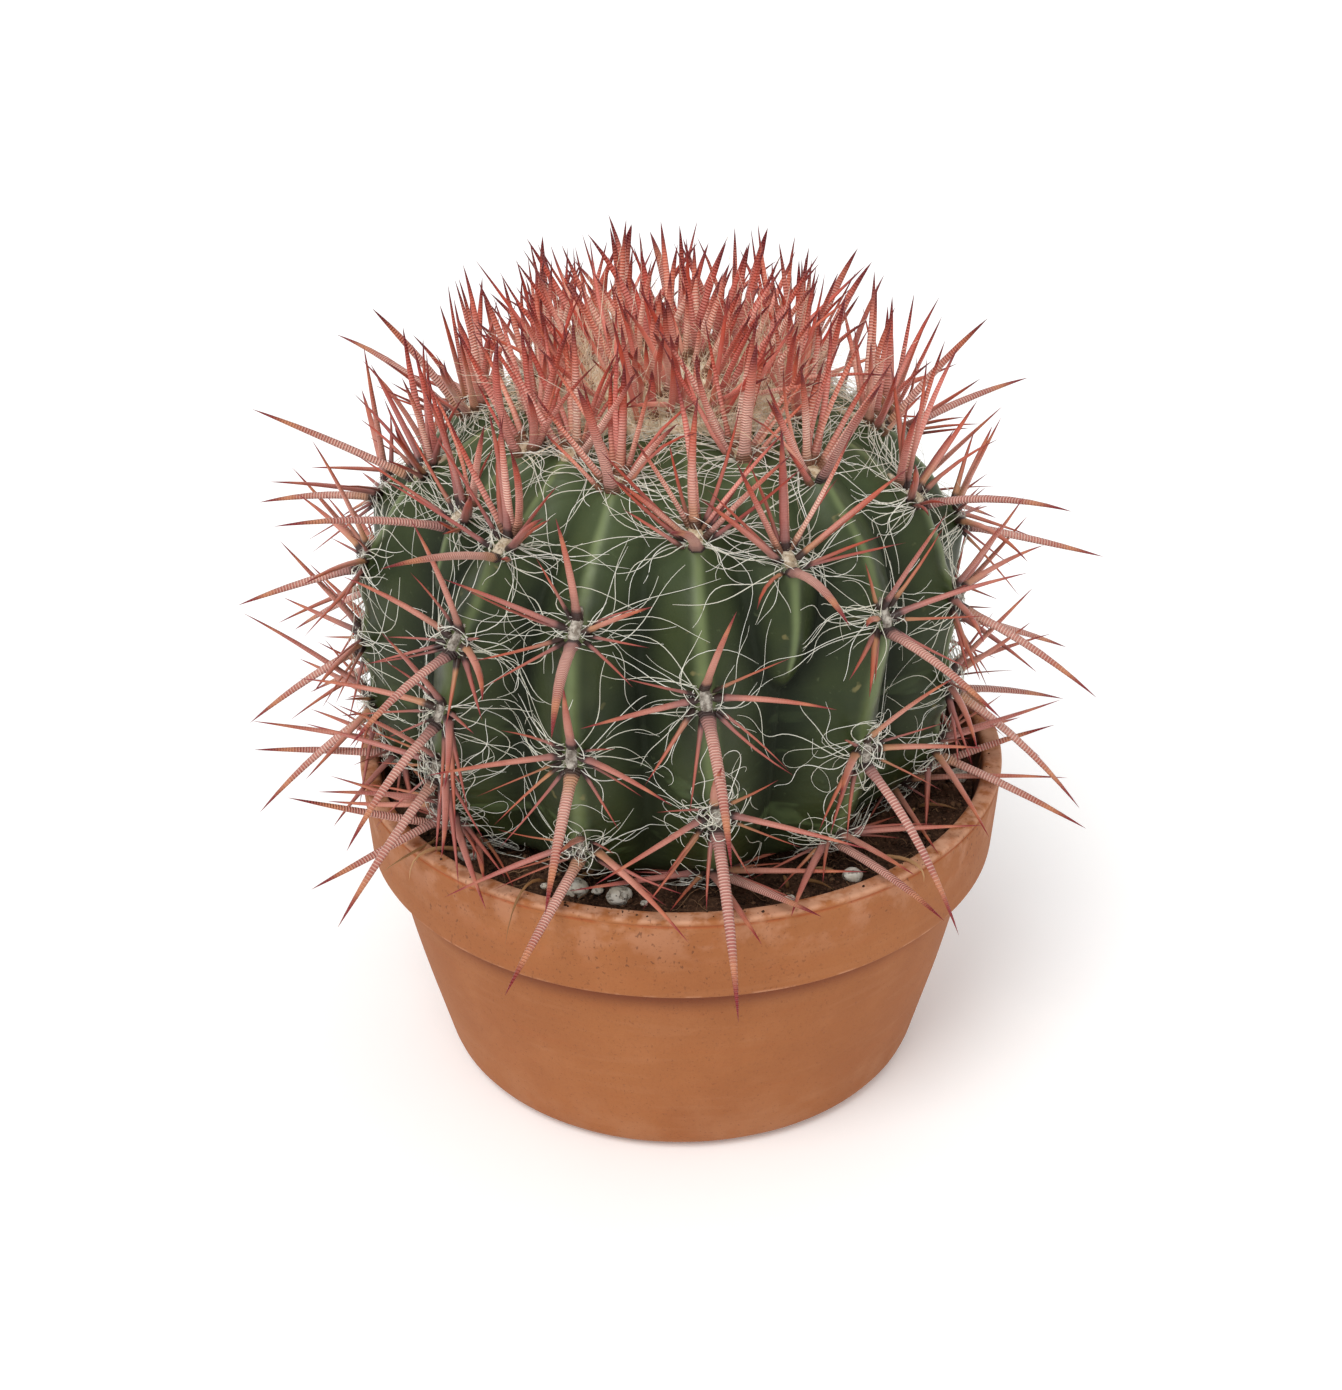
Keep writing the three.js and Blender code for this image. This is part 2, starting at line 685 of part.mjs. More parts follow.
// The plain hole in the soil that the foot of the plant stands in
function holeGeometry() {
  const foot = crestAt(0).radius;
  const low = SOIL_HEIGHT - STUB_DEPTH;
  const over = crestAt(4);
  const outline = [
    [0, low - GAP],
    [STUB_RADIUS + 2 * GAP, low - GAP],
    [foot * 0.8 + 2 * GAP, low + STUB_DEPTH * 0.55 - GAP],
    [foot + 2 * GAP, SOIL_HEIGHT],
    [over.radius + 2 * GAP, over.height],
    [0, over.height],
  ];
  const hole = turned(outline);
  hole.translate(BODY_CENTRE.x, BODY_CENTRE.y, 0);
  return hole;
}

const group = new THREE.Group();

group.add(named('pot', turned(potOutline()), COLOURS.clay));

let soil = toSolid(soilGeometry()).subtract(toSolid(holeGeometry()));
PEBBLES.forEach((pebble, i) => {
  soil = soil.subtract(toSolid(pebbleGeometry(pebble, GAP * 1.3, 50 + i)));
});
group.add(named('soil', toGeometry(soil), COLOURS.soil));

PEBBLES.forEach((pebble, i) => {
  group.add(named(`pebble_${i + 1}`, pebbleGeometry(pebble, 0, 50 + i), COLOURS.pumice));
});

const draw = seededDraws(7);
const ribSpines = [];
for (const areole of areoles()) {
  const frame = areoleFrame(areole.index, areole.length);
  ribSpines.push(...areoleSpines(areole, frame, ribSpines, draw));
}
group.add(named('cactus_stem', joined([
  bodyGeometry(),
  ...ribSpines.map(spineGeometry),
]), COLOURS.green));

const young = crownSpines(ribSpines, seededDraws(19));
group.add(named('crown', joined([woolGeometry(), ...young.map(spineGeometry)]), COLOURS.wool));

export default group;
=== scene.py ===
# %% [markdown]
# # A round barrel cactus in a low clay pan
#
# The plant is a ribbed green ball with spines in tufts along every rib, and it grows in a
# terracotta pan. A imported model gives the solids: the clay, the soil, the pebbles, the green
# body with its strongest spines, and the woolly crown. This file dresses them. It repeats the
# few formulas that place the ribs and the spines, so each fine piece lies on its solid, and adds
# what is too fine for a solid: felt, curly bristles, wool, crumbs and rootlets.
#
# Lengths are worked out in millimetres and divided by 1000 where a mesh is made, because
# Blender's unit here is the metre.

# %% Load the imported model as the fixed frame
import math

import bpy
import numpy as np
from mathutils import Matrix, Vector


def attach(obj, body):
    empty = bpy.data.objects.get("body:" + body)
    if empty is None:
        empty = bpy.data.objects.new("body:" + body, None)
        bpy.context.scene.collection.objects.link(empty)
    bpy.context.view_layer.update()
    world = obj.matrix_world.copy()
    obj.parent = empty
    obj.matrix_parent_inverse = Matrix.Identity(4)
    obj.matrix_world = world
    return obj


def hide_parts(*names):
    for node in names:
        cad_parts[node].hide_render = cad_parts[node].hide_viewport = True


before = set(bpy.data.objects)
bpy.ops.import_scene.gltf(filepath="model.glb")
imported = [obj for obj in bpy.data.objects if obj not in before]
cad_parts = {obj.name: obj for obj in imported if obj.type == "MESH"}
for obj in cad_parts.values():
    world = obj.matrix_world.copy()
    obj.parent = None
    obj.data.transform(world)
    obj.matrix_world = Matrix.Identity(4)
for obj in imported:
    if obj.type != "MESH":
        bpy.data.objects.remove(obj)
bpy.context.view_layer.update()

# %% [markdown]
# ## Helpers for numbers
#
# A cactus is a body of revolution with ribs, so most places are an azimuth, a distance from an
# axis and a height. Azimuth 0 points at the viewer, along -Y, and 90 degrees points along +X.
# Random choices come from seeded generators, so that each run gives the same plant.

# %% Numbers, directions and noise
MILLIMETRE = 0.001
LATTICE = 32


def smooth(low, high, x):
    """0 below low and 1 above high. Between them 3t squared minus 2t cubed, t the share of the way."""
    t = np.clip((np.asarray(x, float) - low) / (high - low), 0.0, 1.0)
    return t * t * (3.0 - 2.0 * t)


def polar(azimuth, distance, height):
    """The point at an azimuth in radians: distance times (sin, -cos), at that height."""
    azimuth, distance, height = np.broadcast_arrays(azimuth, distance, height)
    return np.stack([distance * np.sin(azimuth), -distance * np.cos(azimuth), height], axis=-1)


def unit(vectors):
    """Each vector divided by its own length."""
    return vectors / np.maximum(np.linalg.norm(vectors, axis=-1, keepdims=True), 1e-9)


def lattice_noise(points, size, seed):
    """Smooth random bumps from -1 to 1. Random values sit on a cubic lattice of the given cell
    size, which repeats after 32 cells, and a point takes the smooth mix of the eight around it."""
    values = np.random.default_rng(seed).uniform(-1.0, 1.0, (LATTICE, LATTICE, LATTICE))
    cell = np.asarray(points, float) / size
    corner = np.floor(cell).astype(int)
    share = cell - corner
    share = share * share * (3.0 - 2.0 * share)
    total = np.zeros(cell.shape[:-1])
    for offset in np.ndindex(2, 2, 2):
        at = (corner + offset) % LATTICE
        weight = np.prod(np.abs(1 - np.array(offset) - share), axis=-1)
        total = total + weight * values[at[..., 0], at[..., 1], at[..., 2]]
    return total


class SeededDraws:
    """Numbers from 0 to 1. The state is multiplied, added to and wrapped for each, as it was for
    the solids, so the strong spines here are the same ones."""

    FACTOR, ADDED, WRAP = 1664525, 1013904223, 2 ** 32

    def __init__(self, seed):
        self.state = seed

    def __call__(self):
        self.state = (self.state * self.FACTOR + self.ADDED) % self.WRAP
        return self.state / self.WRAP

    def spread(self, share):
        """A factor about 1, up to this share more or less."""
        return 1 + share * (2 * self() - 1)


# %% [markdown]
# ## Helpers for meshes
#
# Every piece is a surface on a grid: rows of points that run round and round. A closed tube is
# the same thing with a point at each end. Points and faces are whole arrays, and foreach_set
# hands them to Blender at once, which is far quicker than adding them one at a time.

# %% Grids, tubes and the mesh itself
def grid_faces(rows, columns, rows_close=False):
    """The four-sided faces of a grid whose columns close on themselves. With rows going along
    the surface and columns anticlockwise about it, the faces look outward."""
    strips = rows if rows_close else rows - 1
    row, column = np.meshgrid(np.arange(strips), np.arange(columns), indexing="ij")
    following = (column + 1) % columns
    here, above = row * columns, (row + 1) % rows * columns
    corners = [here + column, here + following, above + following, above + column]
    return np.stack(corners, axis=-1).reshape(-1, 4)


def fan_faces(ring_start, columns, pole, towards_pole):
    """Triangles from a ring to one pole point, beyond the ring's last row if towards_pole."""
    column = np.arange(columns)
    following = (column + 1) % columns
    around = [ring_start + column, ring_start + following]
    if not towards_pole:
        around.reverse()
    return np.stack([around[0], around[1], np.full(columns, pole)], axis=-1)


def closed_grids(points):
    """Grids of rows x columns points, many at once, each closed by one point in the middle of
    its first row and of its last one. Gives the vertices and the faces."""
    count, rows, columns, _ = points.shape
    poles = np.stack([points[:, 0].mean(axis=1), points[:, -1].mean(axis=1)], axis=1)
    vertices = np.concatenate([points.reshape(count, -1, 3), poles], axis=1)
    size = rows * columns
    quads = grid_faces(rows, columns)
    caps = np.concatenate([
        fan_faces(0, columns, size, False),
        fan_faces(size - columns, columns, size + 1, True),
    ])
    shift = (np.arange(count) * (size + 2))[:, None, None]
    faces = [(quads[None] + shift).reshape(-1, 4), (caps[None] + shift).reshape(-1, 3)]
    return vertices.reshape(-1, 3), faces


def over_grids(values, columns):
    """Spreads one value per row, grids x rows, over the vertices of closed grids."""
    rings = np.repeat(values[:, :, None], columns, axis=2).reshape(len(values), -1)
    return np.concatenate([rings, values[:, :1], values[:, -1:]], axis=1).ravel()


def tubes(lines, half_wide, half_deep, wide_way, sides):
    """Many closed tubes at once. lines is strands x points x 3. Each ring is an ellipse whose
    half axes lie along wide_way, made square to the line, and along the third direction."""
    along = unit(np.gradient(lines, axis=1))
    wide = unit(wide_way - along * np.sum(wide_way * along, axis=-1, keepdims=True))
    deep = np.cross(along, wide)
    turn = 2 * np.pi * np.arange(sides) / sides
    ring = (
        lines[:, :, None, :]
        + wide[:, :, None, :] * (half_wide[..., None] * np.cos(turn))[..., None]
        + deep[:, :, None, :] * (half_deep[..., None] * np.sin(turn))[..., None]
    )
    return closed_grids(ring)


def add_piece(name, shape, finish, replaces=(), values=None):
    """Makes the mesh in metres, gives it its finish, and lets it ride on the part's one body.
    values holds the numbers that the finish reads: a name, and one number for each vertex."""
    vertices, faces = shape
    loops = np.concatenate([group.ravel() for group in faces])
    sizes = np.concatenate([np.full(len(group), group.shape[1]) for group in faces])
    mesh = bpy.data.meshes.new(name)
    mesh.vertices.add(len(vertices))
    mesh.vertices.foreach_set("co", (vertices * MILLIMETRE).astype(np.float32).ravel())
    mesh.loops.add(len(loops))
    mesh.loops.foreach_set("vertex_index", loops.astype(np.int32))
    mesh.polygons.add(len(sizes))
    mesh.polygons.foreach_set("loop_start", (np.cumsum(sizes) - sizes).astype(np.int32))
    mesh.polygons.foreach_set("use_smooth", np.ones(len(sizes), bool))
    mesh.update(calc_edges=True)
    mesh.validate()
    for label, numbers in (values or {}).items():
        layer = mesh.attributes.new(label, "FLOAT", "POINT")
        layer.data.foreach_set("value", np.asarray(numbers, np.float32).ravel())
    piece = bpy.data.objects.new(name, mesh)
    bpy.context.scene.collection.objects.link(piece)
    mesh.materials.append(finish)
    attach(piece, "root")
    if replaces:
        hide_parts(*replaces)
    print(f"{name}: {int((sizes - 2).sum())} triangles")


SLANT = np.array([0.3, 0.5, 0.8])


def add_strands(name, lines, half, finish, values, sides=3, depth=1.0, wide_way=SLANT):
    """One piece of many thin tubes. half is their half width, strands x points, and values has
    one number for each strand. Hardly any strand runs along the slanting way."""
    per_vertex = {label: over_grids(numbers.reshape(-1, 1) + np.zeros(half.shape), sides)
                  for label, numbers in values.items()}
    add_piece(name, tubes(lines, half, depth * half, wide_way, sides), finish,
              values=per_vertex)


# %% [markdown]
# ## Helpers for finishes
#
# A finish is a node tree, and its arithmetic reads best as an expression. Wire holds one socket,
# and its operators add the Math nodes. Colours go through Mix nodes, since a Math node would
# turn them grey.

# %% Expressions that build shader nodes
class Wire:
    """One output socket of a finish, with + - * / that add a Math node each."""

    def __init__(self, finish, socket):
        self.finish = finish
        self.socket = socket

    def math(self, operation, *values):
        return self.finish.node("ShaderNodeMath", {"operation": operation}, dict(enumerate(values)))

    def __add__(self, other):
        return self.math("ADD", self, other)

    __radd__ = __add__

    def __sub__(self, other):
        return self.math("SUBTRACT", self, other)

    def __rsub__(self, other):
        return self.math("SUBTRACT", other, self)

    def __mul__(self, other):
        return self.math("MULTIPLY", self, other)

    __rmul__ = __mul__

    def __truediv__(self, other):
        return self.math("DIVIDE", self, other)

    def power(self, exponent):
        return self.math("POWER", self, exponent)

    def size(self):
        return self.math("ABSOLUTE", self)

    def wave(self):
        return self.math("SINE", self)

    def larger(self, other):
        return self.math("MAXIMUM", self, other)

    def between(self, low, high):
        """0 at low, 1 at high, smooth in between; low may be above high."""
        settings = {"interpolation_type": "SMOOTHSTEP"}
        if low < high:
            sockets = {"Value": self, "From Min": low, "From Max": high}
            return self.finish.node("ShaderNodeMapRange", settings, sockets)
        return 1 - self.between(high, low)


class Finish:
    """A material with one Principled surface, built up from nodes."""

    def __init__(self, name):
        self.material = bpy.data.materials.new(name)
        self.material.use_nodes = True
        self.tree = self.material.node_tree
        self.tree.nodes.clear()

    def node(self, kind, settings=None, sockets=None, out=0):
        made = self.tree.nodes.new(kind)
        for key, value in (settings or {}).items():
            setattr(made, key, value)
        for key, value in (sockets or {}).items():
            if isinstance(value, Wire):
                self.tree.links.new(value.socket, made.inputs[key])
            elif value is not None:
                made.inputs[key].default_value = value
        return Wire(self, made.outputs[out])

    def place(self):
        """Object coordinates, in metres."""
        return self.node("ShaderNodeTexCoord", out="Object")

    def height(self):
        """Height above the ground, in millimetres."""
        return self.node("ShaderNodeSeparateXYZ", {}, {0: self.place()}, out="Z") * 1000.0

    def value(self, label):
        """A number that the mesh carries at each vertex."""
        return self.node("ShaderNodeAttribute", {"attribute_name": label}, {}, out="Fac")

    def noise(self, millimetres, detail=3.0, roughness=0.55, where=None):
        """Cloudy noise from 0 to 1 whose lumps are about this large."""
        sockets = {
            "Vector": where or self.place(),
            "Scale": 1000.0 / millimetres,
            "Detail": detail,
            "Roughness": roughness,
        }
        return self.node("ShaderNodeTexNoise", {}, sockets, out="Fac")

    def streaks(self, millimetres, along_z, detail=3.0):
        """Noise drawn out along the ground where along_z is above 1, and upright below 1."""
        where = self.node("ShaderNodeVectorMath", {"operation": "MULTIPLY"},
                          {0: self.place(), 1: (1.0, 1.0, along_z)}, out="Vector")
        return self.noise(millimetres, detail, where=where)

    def mix(self, share, first, second):
        """The first colour where the share is 0, the second where it is 1."""
        settings = {"data_type": "RGBA", "clamp_factor": True}
        return self.node("ShaderNodeMix", settings, {0: share, 6: rgba(first), 7: rgba(second)}, out=2)

    def coats(self, colour, *coats):
        """Lays coats over a colour, one after another: each is a share and a colour."""
        for share, coat in coats:
            colour = self.mix(share, colour, coat)
        return colour

    def bump(self, height, millimetres, strength):
        sockets = {"Height": height, "Distance": millimetres * MILLIMETRE, "Strength": strength}
        return self.node("ShaderNodeBump", {}, sockets, out="Normal")

    def surface(self, **sockets):
        """The Principled surface: base_color=... sets its socket "Base Color", and so on."""
        named = {key.replace("_", " ").title(): value for key, value in sockets.items()}
        named = {key.replace("Ior", "IOR"): value for key, value in named.items()}
        shader = self.node("ShaderNodeBsdfPrincipled", {}, named)
        output = self.tree.nodes.new("ShaderNodeOutputMaterial")
        self.tree.links.new(shader.socket, output.inputs["Surface"])
        return self.material


def rgba(colour):
    """Leaves a wire as it is, and turns screen values from 0 to 255 into linear light."""
    if isinstance(colour, Wire):
        return colour
    screen = np.asarray(colour, float) / 255
    linear = np.where(screen <= 0.04045, screen / 12.92, ((screen + 0.055) / 1.055) ** 2.4)
    return (*[float(v) for v in linear], 1.0)


# %% [markdown]
# ## The plant's plan
#
# The ribs start as twelve at the soil, and new ones open between them higher up, as they do on
# the living plant. The crest of a rib follows one rounded outline. Between two crests the skin
# sinks, the deeper the wider the rib is. All of this is the same rule that shaped the solid.

# %% Measures of the pot, the soil and the green body
POT_HEIGHT, RIM_RADIUS, RIM_INNER_RADIUS = 127.0, 125.0, 118.0
BAND_HEIGHT, BAND_LOW_RADIUS, BODY_TOP_RADIUS = 35.0, 122.6, 116.0
FOOT_RADIUS, BELLY_RADIUS, BELLY_HEIGHT = 94.2, 106.3, 46.0
INNER_SHOULDER_RADIUS, INNER_FOOT_RADIUS = 110.5, 88.5
FLOOR_THICKNESS, DRAIN_RADIUS = 12.0, 11.0
SOIL_HEIGHT = 115.0
BODY_CENTRE = np.array([-7.0, 6.0, 0.0])
LEAN_FROM, LEAN_TO, LEAN_RIGHT = 185.0, 272.0, 4.0
BODY_RADIUS, WIDEST_HEIGHT = 112.6, 198.0
UPPER_RISE, UPPER_POWER = 77.0, 2.05
LOWER_DROP, LOWER_POWER = 86.0, 4.5
CROWN_RADIUS, WOOL_RADIUS, WOOL_RISE = 36.0, 37.0, 11.0
STUB_RADIUS, STUB_DEPTH, SEAT_DEPTH = 34.0, 20.0, 1.6
RIB_DEPTH, CREST_ROUNDING = 0.60, 0.2
RIB_TURN_FROM, RIB_TURN_TO = 130.0, 250.0
SHORT_RIB_HALF_WIDTH, SHORT_RIB_RISE, SHORT_RIB_SINK = 10.0, 42.0, 0.14

# azimuth near the soil and near the crown, first areole below the crown, step to the next,
# swell of the crest, and the height where a rib that was added later starts (0 for the others)
RIBS = np.array([
    (-138, -140, 30, 50, 0.000, 0), (-121, -120, 24, 40, -0.005, 192),
    (-108, -100, 40, 50, 0.018, 0), (-78, -80, 14, 46, 0.012, 0),
    (-62, -56, 28, 36, -0.012, 214), (-47, -38, 22, 42, 0.004, 0),
    (-15, -17, 31, 55, 0.000, 0), (10, 6, 52, 56, 0.000, 0),
    (23, 26, 19, 46, -0.008, 196), (37, 45, 36, 58, 0.006, 0),
    (70, 69, 14, 50, 0.010, 0), (99, 90, 42, 52, 0.004, 0),
    (129, 113, 20, 48, -0.004, 0), (146, 134, 34, 40, -0.010, 205),
    (161, 156, 28, 54, 0.005, 0), (191, 178, 44, 50, 0.000, 0),
    (207, 200, 22, 40, -0.008, 220),
], float)
LOW, HIGH, FIRST, STEP, SWELL, START = RIBS.T
IS_SHORT = START > 0


def crest_radius(height):
    """The crest line is two quarter superellipses: radius R times (1 - share^p)^(1/p)."""
    above = height > WIDEST_HEIGHT
    reach = np.where(above, UPPER_RISE, LOWER_DROP)
    power = np.where(above, UPPER_POWER, LOWER_POWER)
    share = np.minimum(np.abs(height - WIDEST_HEIGHT) / reach, 1.0)
    return BODY_RADIUS * (1 - share ** power) ** (1 / power)


CROWN_HEIGHT = WIDEST_HEIGHT + UPPER_RISE * (
    1 - (CROWN_RADIUS / BODY_RADIUS) ** UPPER_POWER) ** (1 / UPPER_POWER)
CREST_HEIGHTS = SOIL_HEIGHT + (CROWN_HEIGHT - SOIL_HEIGHT) * np.sin(np.linspace(0, np.pi / 2, 601))
CREST_RADII = crest_radius(CREST_HEIGHTS)
CREST_LENGTHS = np.concatenate(
    [[0], np.cumsum(np.hypot(np.diff(CREST_HEIGHTS), np.diff(CREST_RADII)))])
CREST_LENGTH = CREST_LENGTHS[-1]
print(f"crown at {CROWN_HEIGHT:.1f} mm, crest line {CREST_LENGTH:.1f} mm long")


def crest_at(length):
    """Radius and height of the crest line, at a distance along it from the soil."""
    return (np.interp(length, CREST_LENGTHS, CREST_RADII),
            np.interp(length, CREST_LENGTHS, CREST_HEIGHTS))


def ribs_at(height):
    """For each height, the crest azimuth of all ribs, their left and right valleys, how open
    they are and their swell, each as heights x ribs."""
    height = np.atleast_1d(height)[:, None]
    crest = np.radians(LOW + smooth(RIB_TURN_FROM, RIB_TURN_TO, height) * (HIGH - LOW))
    swell = SWELL * smooth(SOIL_HEIGHT, WIDEST_HEIGHT, height)
    started = np.sqrt(np.clip((height - START) / SHORT_RIB_RISE, 0.0025, 1))
    open_ = np.where(IS_SHORT, started, 1.0)
    half = np.radians(SHORT_RIB_HALF_WIDTH) * open_
    next_crest = np.roll(crest, -1, axis=1)
    next_crest[:, -1] += 2 * np.pi
    right = (crest + next_crest) / 2
    right = np.where(IS_SHORT, crest + half, right)
    right = np.where(np.roll(IS_SHORT, -1), next_crest - np.roll(half, -1, axis=1), right)
    left = np.roll(right, 1, axis=1)
    left[:, 0] -= 2 * np.pi
    return crest, left, right, open_, swell


def rib_fade(height):
    """How deep the valleys are, from 0 at the soil and at the crown to 1 between them."""
    foot = smooth(SOIL_HEIGHT - 1, SOIL_HEIGHT + 22, height)
    shoulder = 1 - 0.3 * smooth(CROWN_HEIGHT - 24, CROWN_HEIGHT, height)
    rim = 1 - smooth(CROWN_HEIGHT - 1.6, CROWN_HEIGHT, height)
    return foot * shoulder * rim


def centre_at(height):
    """The middle of the green body: it stands straight lower down, and its top leans right."""
    shift = LEAN_RIGHT * smooth(LEAN_FROM, LEAN_TO, np.asarray(height, float))
    return np.stack([BODY_CENTRE[0] + shift, BODY_CENTRE[1] + 0 * shift, 0 * shift], axis=-1)


def flank(across):
    """How deep a flank lies, from 0 on the crest to 1 in the valley: the root of across^2 + r^2,
    less r, which is straight but for a rounding of size r at the crest."""
    least = CREST_ROUNDING
    return (np.hypot(across, least) - least) / (np.hypot(1, least) - least)


def body_points(rib, across, length):
    """Points on the green body. across runs from -1 in the left valley to 1 in the right one.
    The distance from the axis is the crest's, less 0.6 of the half width times the flank, and
    less a little more on a short rib that has just opened."""
    rib, across, length = np.broadcast_arrays(rib, across, length)
    radius, height = crest_at(length)
    flat_height = height.ravel()
    crest, left, right, open_, swell = (
        table[np.arange(flat_height.size), rib.ravel()].reshape(rib.shape)
        for table in ribs_at(flat_height)
    )
    side = np.where(across < 0, crest - left, right - crest)
    azimuth = crest + across * side
    width = radius * (right - left) / 2
    depth = RIB_DEPTH * width * flank(across)
    sunk = np.where(IS_SHORT[rib], SHORT_RIB_SINK * radius * (1 - open_), 0.0)
    out = radius * (1 + swell * (1 - np.abs(across)))
    return polar(azimuth, out - (depth + sunk) * rib_fade(height), height) + centre_at(height)


# %% [markdown]
# ## Where the spines grow
#
# Spines grow in tufts from felted spots, the areoles, one after another down each crest. Each
# areole here has a frame of three directions: out of the rib, up along it, and to its right. The
# four strong spines stand in a cross. Every spine is straight at first and then bends towards
# the ground, and it is tilted until it clears the clay and the soil.

# %% The areoles
LOWEST_AREOLE = 20.0
BARE_START = 14.0
STEP_SHRINK = 0.84


def areole_frames():
    """Rib, length along the crest, distance below the crown, place and directions of each. The
    steps shrink down a rib, and a short rib is bare where it starts."""
    rib, down = [], []
    for index in range(len(RIBS)):
        below, gap = FIRST[index], STEP[index]
        while CREST_LENGTH - below > LOWEST_AREOLE:
            height = crest_at(CREST_LENGTH - below)[1]
            if not IS_SHORT[index] or height > START[index] + BARE_START:
                rib.append(index)
                down.append(below)
            below, gap = below + gap, gap * STEP_SHRINK
    rib, down = np.array(rib), np.array(down)
    length = CREST_LENGTH - down
    place = body_points(rib, 0.0, length)
    above = body_points(rib, 0.0, np.minimum(length + 2, CREST_LENGTH))
    up = unit(above - body_points(rib, 0.0, length - 2))
    away = unit((place - centre_at(place[:, 2])) * (1, 1, 0))
    right = np.stack([-away[:, 1], away[:, 0], 0 * away[:, 0]], axis=1)
    out = unit(np.cross(right, up))
    return {"rib": rib, "length": length, "down": down, "place": place,
            "out": out, "up": up, "right": np.cross(up, out)}


areoles = areole_frames()
AREOLE_COUNT = len(areoles["rib"])
print("areoles:", AREOLE_COUNT)


def areole_frame(i):
    """Place, outward, upward and rightward direction of one areole, or of several."""
    return (areoles[key][i] for key in ("place", "out", "up", "right"))


# %% The pebbles, which the lowest spines have to clear
PEBBLE_SQUASH, PEBBLE_RISE = 0.8, 0.3
# azimuth, distance from the pot's axis and half size
PEBBLES = np.array([
    (-66, 101, 4.4), (-51, 102, 3.6), (-24, 96, 4.6), (-14, 95, 4.2), (38, 101, 3.4),
    (84, 108, 3.8), (131, 107, 4.3), (168, 110, 3.9), (205, 109, 4.6), (247, 108, 3.5),
])
PEBBLE_CENTRES = polar(
    np.radians(PEBBLES[:, 0]), PEBBLES[:, 1],
    SOIL_HEIGHT + PEBBLE_RISE * PEBBLES[:, 2] * PEBBLE_SQUASH)


# %% How a spine runs, and what it keeps clear of
GROUNDWARD = np.array([0.0, 0.0, -1.0])


class Spine:
    """One spine: its root, its first direction, its length and width, and how far it bends."""

    def __init__(self, root, along, towards, length, width, bend, kind, age):
        self.root, self.along, self.towards = root, along, towards
        self.length, self.width, self.bend = length, width, bend
        self.kind, self.age = kind, age

    def points(self, t):
        """Root + along x length x t + towards x length x bend x t squared."""
        t = np.asarray(t)[:, None]
        return (self.root + self.along * self.length * t
                + self.towards * self.length * self.bend * t * t)


REACH, REACH_SHIFT = 163, 2
DOME_TOP, DOME_FALL = 323, 0.002
LEAST_TIP_HEIGHT = 104
AIR = 0.7
CHECKED = np.arange(0.1, 1.001, 0.05)
GAP_STEPS = 0.05 * np.arange(20)
FAR_AWAY = 99


def clearance(points):
    """Distance to the clay, the soil and the pebbles, less than 0 inside them."""
    radius = np.hypot(points[:, 0], points[:, 1])
    soil = np.where(radius < RIM_INNER_RADIUS, points[:, 2] - SOIL_HEIGHT - 2, FAR_AWAY)
    rim = np.max([points[:, 2] - POT_HEIGHT, radius - RIM_RADIUS, RIM_INNER_RADIUS - radius], axis=0)
    far = np.linalg.norm(points[:, None] - PEBBLE_CENTRES, axis=2) - 1.3 * PEBBLES[:, 2]
    return np.min([soil, rim, far.min(axis=1)], axis=0)


def is_within_reach(tip):
    """True within 163 mm of the middle and under a dome: 323 - 0.002 x distance squared."""
    away = math.hypot(tip[0] + REACH_SHIFT, tip[1])
    return away <= REACH and tip[2] <= DOME_TOP - DOME_FALL * away * away


def settled(spine):
    """Tilts a spine up until it clears the pot, and shortens it to the plant's reach."""
    needed = 1.5 + spine.width / 2
    while (clearance(spine.points(CHECKED)).min() < needed
           or spine.points([1.0])[0, 2] <= LEAST_TIP_HEIGHT):
        spine.along = unit(spine.along + (0, 0, 0.08))
        spine.bend *= 0.9
    while not is_within_reach(spine.points([1.0])[0]):
        spine.length *= 0.99
    return spine


def is_clear(spine, others):
    """True if the spine passes each of the others with 0.7 mm of air between them. Each is
    taken to thin out evenly to a fifth of its width."""
    for other in others:
        if np.linalg.norm(spine.root - other.root) > 1.2 * (spine.length + other.length):
            continue
        between = np.linalg.norm(
            spine.points(GAP_STEPS)[:, None] - other.points(GAP_STEPS)[None], axis=2)
        flesh = 0.5 * (spine.width * (1 - 0.8 * GAP_STEPS)[:, None]
                       + other.width * (1 - 0.8 * GAP_STEPS)[None])
        if (between - flesh).min() <= AIR:
            return False
    return True


# %% The strong spines, as the solid has them
# length and width of each kind
DOWN, UP, SIDE, RADIAL, CROWN = (62, 4.3), (50, 3.2), (47, 3.1), (32, 2.3), (46, 2.7)
TRIES = 6


